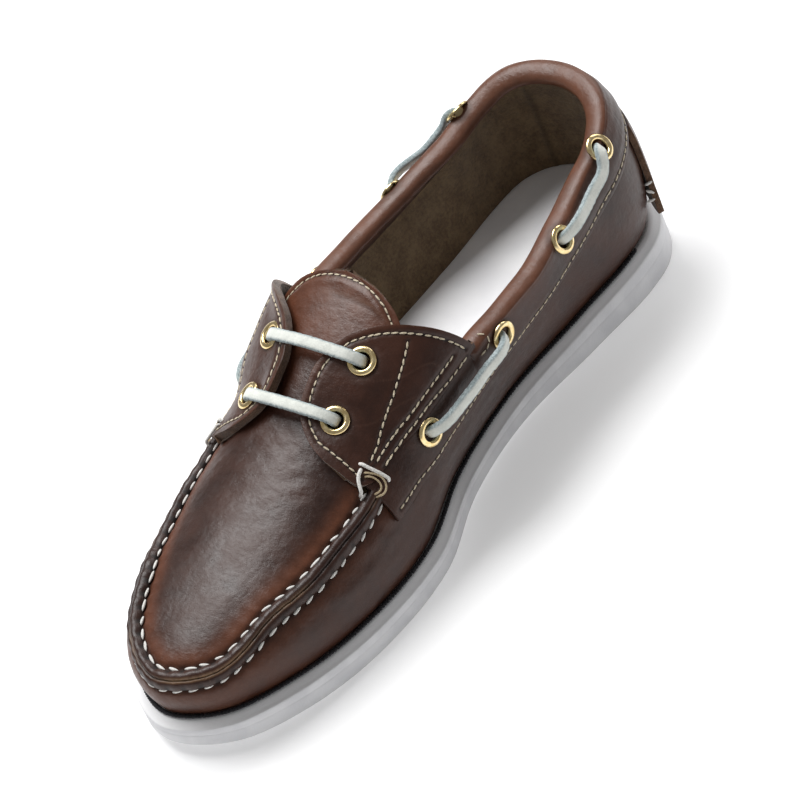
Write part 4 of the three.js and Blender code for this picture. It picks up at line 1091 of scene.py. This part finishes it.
for sideName in ("medial", "lateral"):
    settle([sideName + word for word in wingLines], f"wing_leather_{sideName}")
    settle([sideName + "Tab"], "padded_collar")
settle(["band"], "padded_collar")
settle(["tongue"], "plug_and_tongue")

machineThread = bmesh.new()
for seed, lineName in enumerate(machineNames):
    stitchRun(machineThread, lines[lineName], machine, seed)
finishPiece("machine_stitches", machineThread, [creamThread])

handThread = bmesh.new()
stitchRun(handThread, lines["seamPlug"], seam, 20)
stitchRun(handThread, lines["seamWall"], seamWallSide, 21)
for sideSign in (1, -1):  # over the raw edge at the lower corners of the heel patch
    for cornerZ, cornerReach, slant in heelPatch["cornerStitches"]:
        cornerU = np.array([sideSign * (3 - cornerReach)])
        spots, outwards, climbs = onLast(cornerU, vAtHeight(cornerU, np.array([cornerZ])), 1.5)
        spot, outward, climbing = spots[0], outwards[0], climbs[0]
        addStitch(handThread, spot, outward + slant * climbing, np.cross(outward, climbing), 3.2, 0.6)
finishPiece("hand_stitches", handThread, [whiteThread])


def tubePiece(name, path, normals, wide, thick, materials, nodes=(), sideMark=False, power=0.6):
    path, normals = np.asarray(path, float), np.asarray(normals, float)
    count, sides = len(path), 20 if sideMark else 10
    along = np.gradient(path, axis=0)
    along /= np.linalg.norm(along, axis=1)[:, None]
    over = np.cross(along, normals)
    over /= np.linalg.norm(over, axis=1)[:, None]
    lift = np.cross(over, along)

    def place(s, t):
        i = np.clip((s * (count - 1)).round().astype(int), 0, count - 1)
        angle = 2 * math.pi * t
        c, n = np.cos(angle), np.sin(angle)
        x, y = np.sign(c) * np.abs(c) ** power * wide / 2, np.sign(n) * np.abs(n) ** power * thick / 2
        spot = path[i]
        fray = 1 + (0.05 * wander(spot + np.stack([x, y, 0 * x], -1), 1.6, 71) if sideMark else 0)
        points = spot + over[i] * (x * fray)[:, None] + lift[i] * (y * fray)[:, None]
        return points, {"side": ease(0.62, 0.86, np.abs(x) / (wide / 2)) if sideMark else 0 * x}
    return finishPiece(name, gridPiece(count - 1, sides, place), materials, nodes, closed=True)


# tie stitches at the wing corners: path, height over the last, thickness, thread
ties = {
    "bar": ("31.2 -36.6 52.6  34.0 -36.0 50.4  37.0 -34.8 47.4  39.6 -34.0 44.4", 4.2, 0.62, whiteThread),
    "loop": ("32.6 -37.2 51.4  32.8 -40.2 50.6  34.2 -42.6 48.4  35.8 -44.2 46.4", 4.0, 0.62, whiteThread),
    "tanOuter": ("""33.0 -38.2 50.2  34.7 -37.3 49.5  36.4 -35.7 47.8  38.2 -35.6 45.5
        39.4 -37.0 43.6  39.7 -39.8 43.0  38.9 -41.3 43.9""", 4.0, 0.36, tanThread),
    "tanInner": ("""33.8 -39.2 49.4  35.7 -37.4 48.3  37.0 -37.2 46.9  38.2 -37.2 45.4
        38.9 -38.8 44.1  38.3 -41.3 44.6""", 3.9, 0.34, tanThread),
}
for sideName, sideSign in (("medial", 1), ("lateral", -1)):
    for tieName, (tiePath, tieLift, tieThick, tieMaterial) in ties.items():
        tie = lineOn(tiePath if sideSign > 0 else mirrored(tiePath), tieLift)
        ends = np.clip(np.minimum(tie["run"], tie["run"][-1] - tie["run"]) / 1.6, 0, 1)
        tiePoints = tie["points"] - tie["normals"] * (2.6 * (1 - ends) ** 2)[:, None]
        tubePiece(f"tie_{tieName}_{sideName}", tiePoints, tie["normals"], tieThick * 2, tieThick * 1.8,
                  [tieMaterial], power=1.0)


# the dark twisted cord between upper and sole, made of short slanting strands
welt = {
    "inset": 4.0, "end": 2.2, "up": 0.75, "pitch": 1.25, "stitch": 2.3, "thick": 0.62,
    "slant": 0.75, "sink": 0.0, "jitter": 0.25,
}
weltMesh = bmesh.new()
weltU = np.linspace(-welt["end"], welt["end"], 1500)
weltPath = soles(weltU, welt["inset"], look(soleRows, "top", soleY(weltU)) + welt["up"])
weltRun = np.concatenate([[0], np.cumsum(np.linalg.norm(np.diff(weltPath, axis=0), axis=1))])
weltLine = {"run": weltRun, "points": weltPath, "normals": np.tile([0.0, 0.0, 1.0], (len(weltU), 1))}
stitchRun(weltMesh, weltLine, welt, 31)
finishPiece("welt_cord_twist", weltMesh, [weltThread], ["welt_cord"])


# eyelets, spun from a section
eyelet = {"steps": 36, "profile": table("r up shade", """
    2.75 -2.6 1  2.85 -0.6 0.8  2.95 0.15 0.3  3.2 0.62 0  3.7 0.86 0  4.3 0.80 0  4.85 0.52 0
    5.1 0.10 0.2  5.0 -0.35 0.8""")}
throatLift = {"medial": 3.35, "lateral": 3.7}
sideSeats = (("front", 2.5, 0.0), ("middle", 3.2, 0.05), ("rear", 3.1, 0.35), ("heel", 3.0, 0.45))


def eyeletAt(name, spot, lift, nodeName, tilt=0.0):  # tilt leans it back towards the crown
    u, v = locate(np.array([spot]))
    points, normals, up = onLast(u, v, lift)
    centre, normal = Vector(points[0]), Vector(normals[0])
    normal = (normal + Vector(up[0]) * tilt).normalized()
    over = normal.orthogonal().normalized()
    profile = eyelet["profile"]
    mesh = bmesh.new()
    layer = mesh.verts.layers.float.new("shade")
    verts = []
    for r, h, shade in zip(profile["r"], profile["up"], profile["shade"]):
        vert = mesh.verts.new(metres(centre + over * r + normal * h))
        vert[layer] = shade
        verts.append(vert)
    edges = [mesh.edges.new(pair) for pair in zip(verts, verts[1:])]
    bmesh.ops.spin(mesh, geom=verts + edges, cent=metres(centre), axis=normal, angle=2 * math.pi,
                   steps=eyelet["steps"], use_merge=True)
    bmesh.ops.remove_doubles(mesh, verts=mesh.verts, dist=2e-6)
    bmesh.ops.recalc_face_normals(mesh, faces=mesh.faces)
    if sum(f.normal.dot(normal) for f in mesh.faces) < 0:
        bmesh.ops.reverse_faces(mesh, faces=mesh.faces)
    finishPiece(name, mesh, [brass], [nodeName])
    return np.array(centre), np.array(normal)


holes = {}
for sideName in ("medial", "lateral"):
    for i, word in enumerate(("upper", "lower")):
        spot = np.array(throatEyelets[sideName].split(), float).reshape(-1, 3)[i]
        key = f"throat_eyelet_{word}_{sideName}"
        holes[word, sideName] = eyeletAt(f"brass_{key}", spot, throatLift[sideName], key)
    for i, (word, lift, tilt) in enumerate(sideSeats):
        spot = np.array(sideEyelets[sideName].split(), float).reshape(-1, 3)[i]
        key = f"side_eyelet_{word}_{sideName}"
        holes[word, sideName] = eyeletAt(f"brass_{key}", spot, lift, key, tilt)
print("eyelets set")


# flat laces that run tight between two eyelets
lace = {"wide": 4.3, "thick": 2.5}


def laceBetween(name, first, last, rise, nodeName, guide, hug=None):  # hug is its height over the leather
    (p, n), (q, m) = holes[first], holes[last]
    toward = (q - p) / np.linalg.norm(q - p)
    guide = np.array(guide, float) / np.linalg.norm(guide)
    if hug is None:
        middle = [p * 0.7 + q * 0.3 + (n + guide * rise) * 0.78, (p + q) / 2 + guide * rise,
                  q * 0.7 + p * 0.3 + (m + guide * rise) * 0.78]
    else:
        (startU, endU), (startV, endV) = locate(np.array([p, q]))
        share = np.array([0.38, 0.62])
        u, v = startU + (endU - startU) * share, startV + (endV - startV) * share
        middle = onLast(u, v, hug + rise * np.sin(math.pi * share))[0] - [0, 0, 0.5]
    leaving, arriving = p + n * 1.5 + toward * 1.5, q + m * 1.5 - toward * 1.5
    rows = [p - n * 2.4, p - n * 0.4, leaving, *middle, arriving, q - m * 0.4, q - m * 2.4]
    path = curveThrough(np.array(rows), 0.5)
    path = np.column_stack([soften(path[:, k], 5) for k in range(3)])
    share = np.linspace(0, 1, len(path))[:, None]
    facing = n * (1 - share) + m * share + guide * np.sin(share * math.pi) * 0.7
    tubePiece(name, path, facing, lace["wide"], lace["thick"], [laceFinish], [nodeName], True)


bow = (0, -0.45, 0.9)
laceBetween("lace_bar_top", ("upper", "lateral"), ("upper", "medial"), 6.4, "lace_bar_upper", bow)
laceBetween("lace_bar_bottom", ("lower", "lateral"), ("lower", "medial"), 6.2, "lace_bar_lower", bow)
for sideName, sideSign in (("medial", 1), ("lateral", -1)):
    out = (sideSign, 0.0, 0.15)
    laceBetween(f"side_lace_forward_{sideName}", ("front", sideName), ("middle", sideName), 2.2,
                f"side_lace_front_{sideName}", out, 4.4)
    laceBetween(f"side_lace_back_{sideName}", ("rear", sideName), ("heel", sideName), 0.8,
                f"side_lace_rear_{sideName}", out, 5.0)


# floor, light and camera
studio = {
    "floor": (0.82, 0.82, 0.825), "glow": 0.30, "sky": 0.26, "target": (0.0, 0.0, 0.03),
    "key": ((-0.66, 0.14, 1.42), (1.1, 0.9), 30.0), "back": ((-0.3, 1.4, 0.9), (1.2, 0.6), 7.0),
}

floorMesh = bmesh.new()
bmesh.ops.create_grid(floorMesh, x_segments=1, y_segments=1, size=12.0)
floorData = bpy.data.meshes.new("floor")
floorMesh.to_mesh(floorData)
floorMesh.free()
floorPaint = Paint("studio floor", {
    "Base Color": (*studio["floor"], 1.0), "Roughness": 0.9, "Specular IOR Level": 0.1,
    "Emission Color": (1, 1, 1, 1), "Emission Strength": studio["glow"],
})
floorData.materials.append(floorPaint.material)
floor = bpy.data.objects.new("studio_floor", floorData)
bpy.context.scene.collection.objects.link(floor)


def softbox(name, place, size, power):
    light = bpy.data.lights.new(name, "AREA")
    light.shape, light.energy = "RECTANGLE", power
    light.size, light.size_y = size
    lamp = bpy.data.objects.new(name, light)
    lamp.location = place
    lamp.rotation_euler = (Vector(studio["target"]) - Vector(place)).to_track_quat("-Z", "Y").to_euler()
    bpy.context.scene.collection.objects.link(lamp)


softbox("key_light", *studio["key"])
softbox("back_light", *studio["back"])

world = bpy.data.worlds.new("studio")
bpy.context.scene.world = world
world.use_nodes = True
world.node_tree.nodes["Background"].inputs["Color"].default_value = (1, 1, 1, 1)
world.node_tree.nodes["Background"].inputs["Strength"].default_value = studio["sky"]
bpy.context.scene.view_settings.view_transform = "Standard"

view = {
    "place": (0.98712, -0.70407, 1.04302), "forward": (-0.62203, 0.44871, -0.64167),
    "up": (-0.23392, 0.67558, 0.69919), "lens": 212.0,
}
cameraData = bpy.data.cameras.new("camera")
cameraData.lens, cameraData.sensor_width = view["lens"], 36.0
cameraData.clip_start, cameraData.clip_end = 0.05, 50.0
camera = bpy.data.objects.new("camera", cameraData)
forward, up = Vector(view["forward"]).normalized(), Vector(view["up"]).normalized()
right = forward.cross(up).normalized()
up = right.cross(forward)
turned = Matrix((right, up, -forward)).transposed().to_4x4()
camera.matrix_world = Matrix.Translation(Vector(view["place"])) @ turned
bpy.context.scene.collection.objects.link(camera)
bpy.context.scene.camera = camera
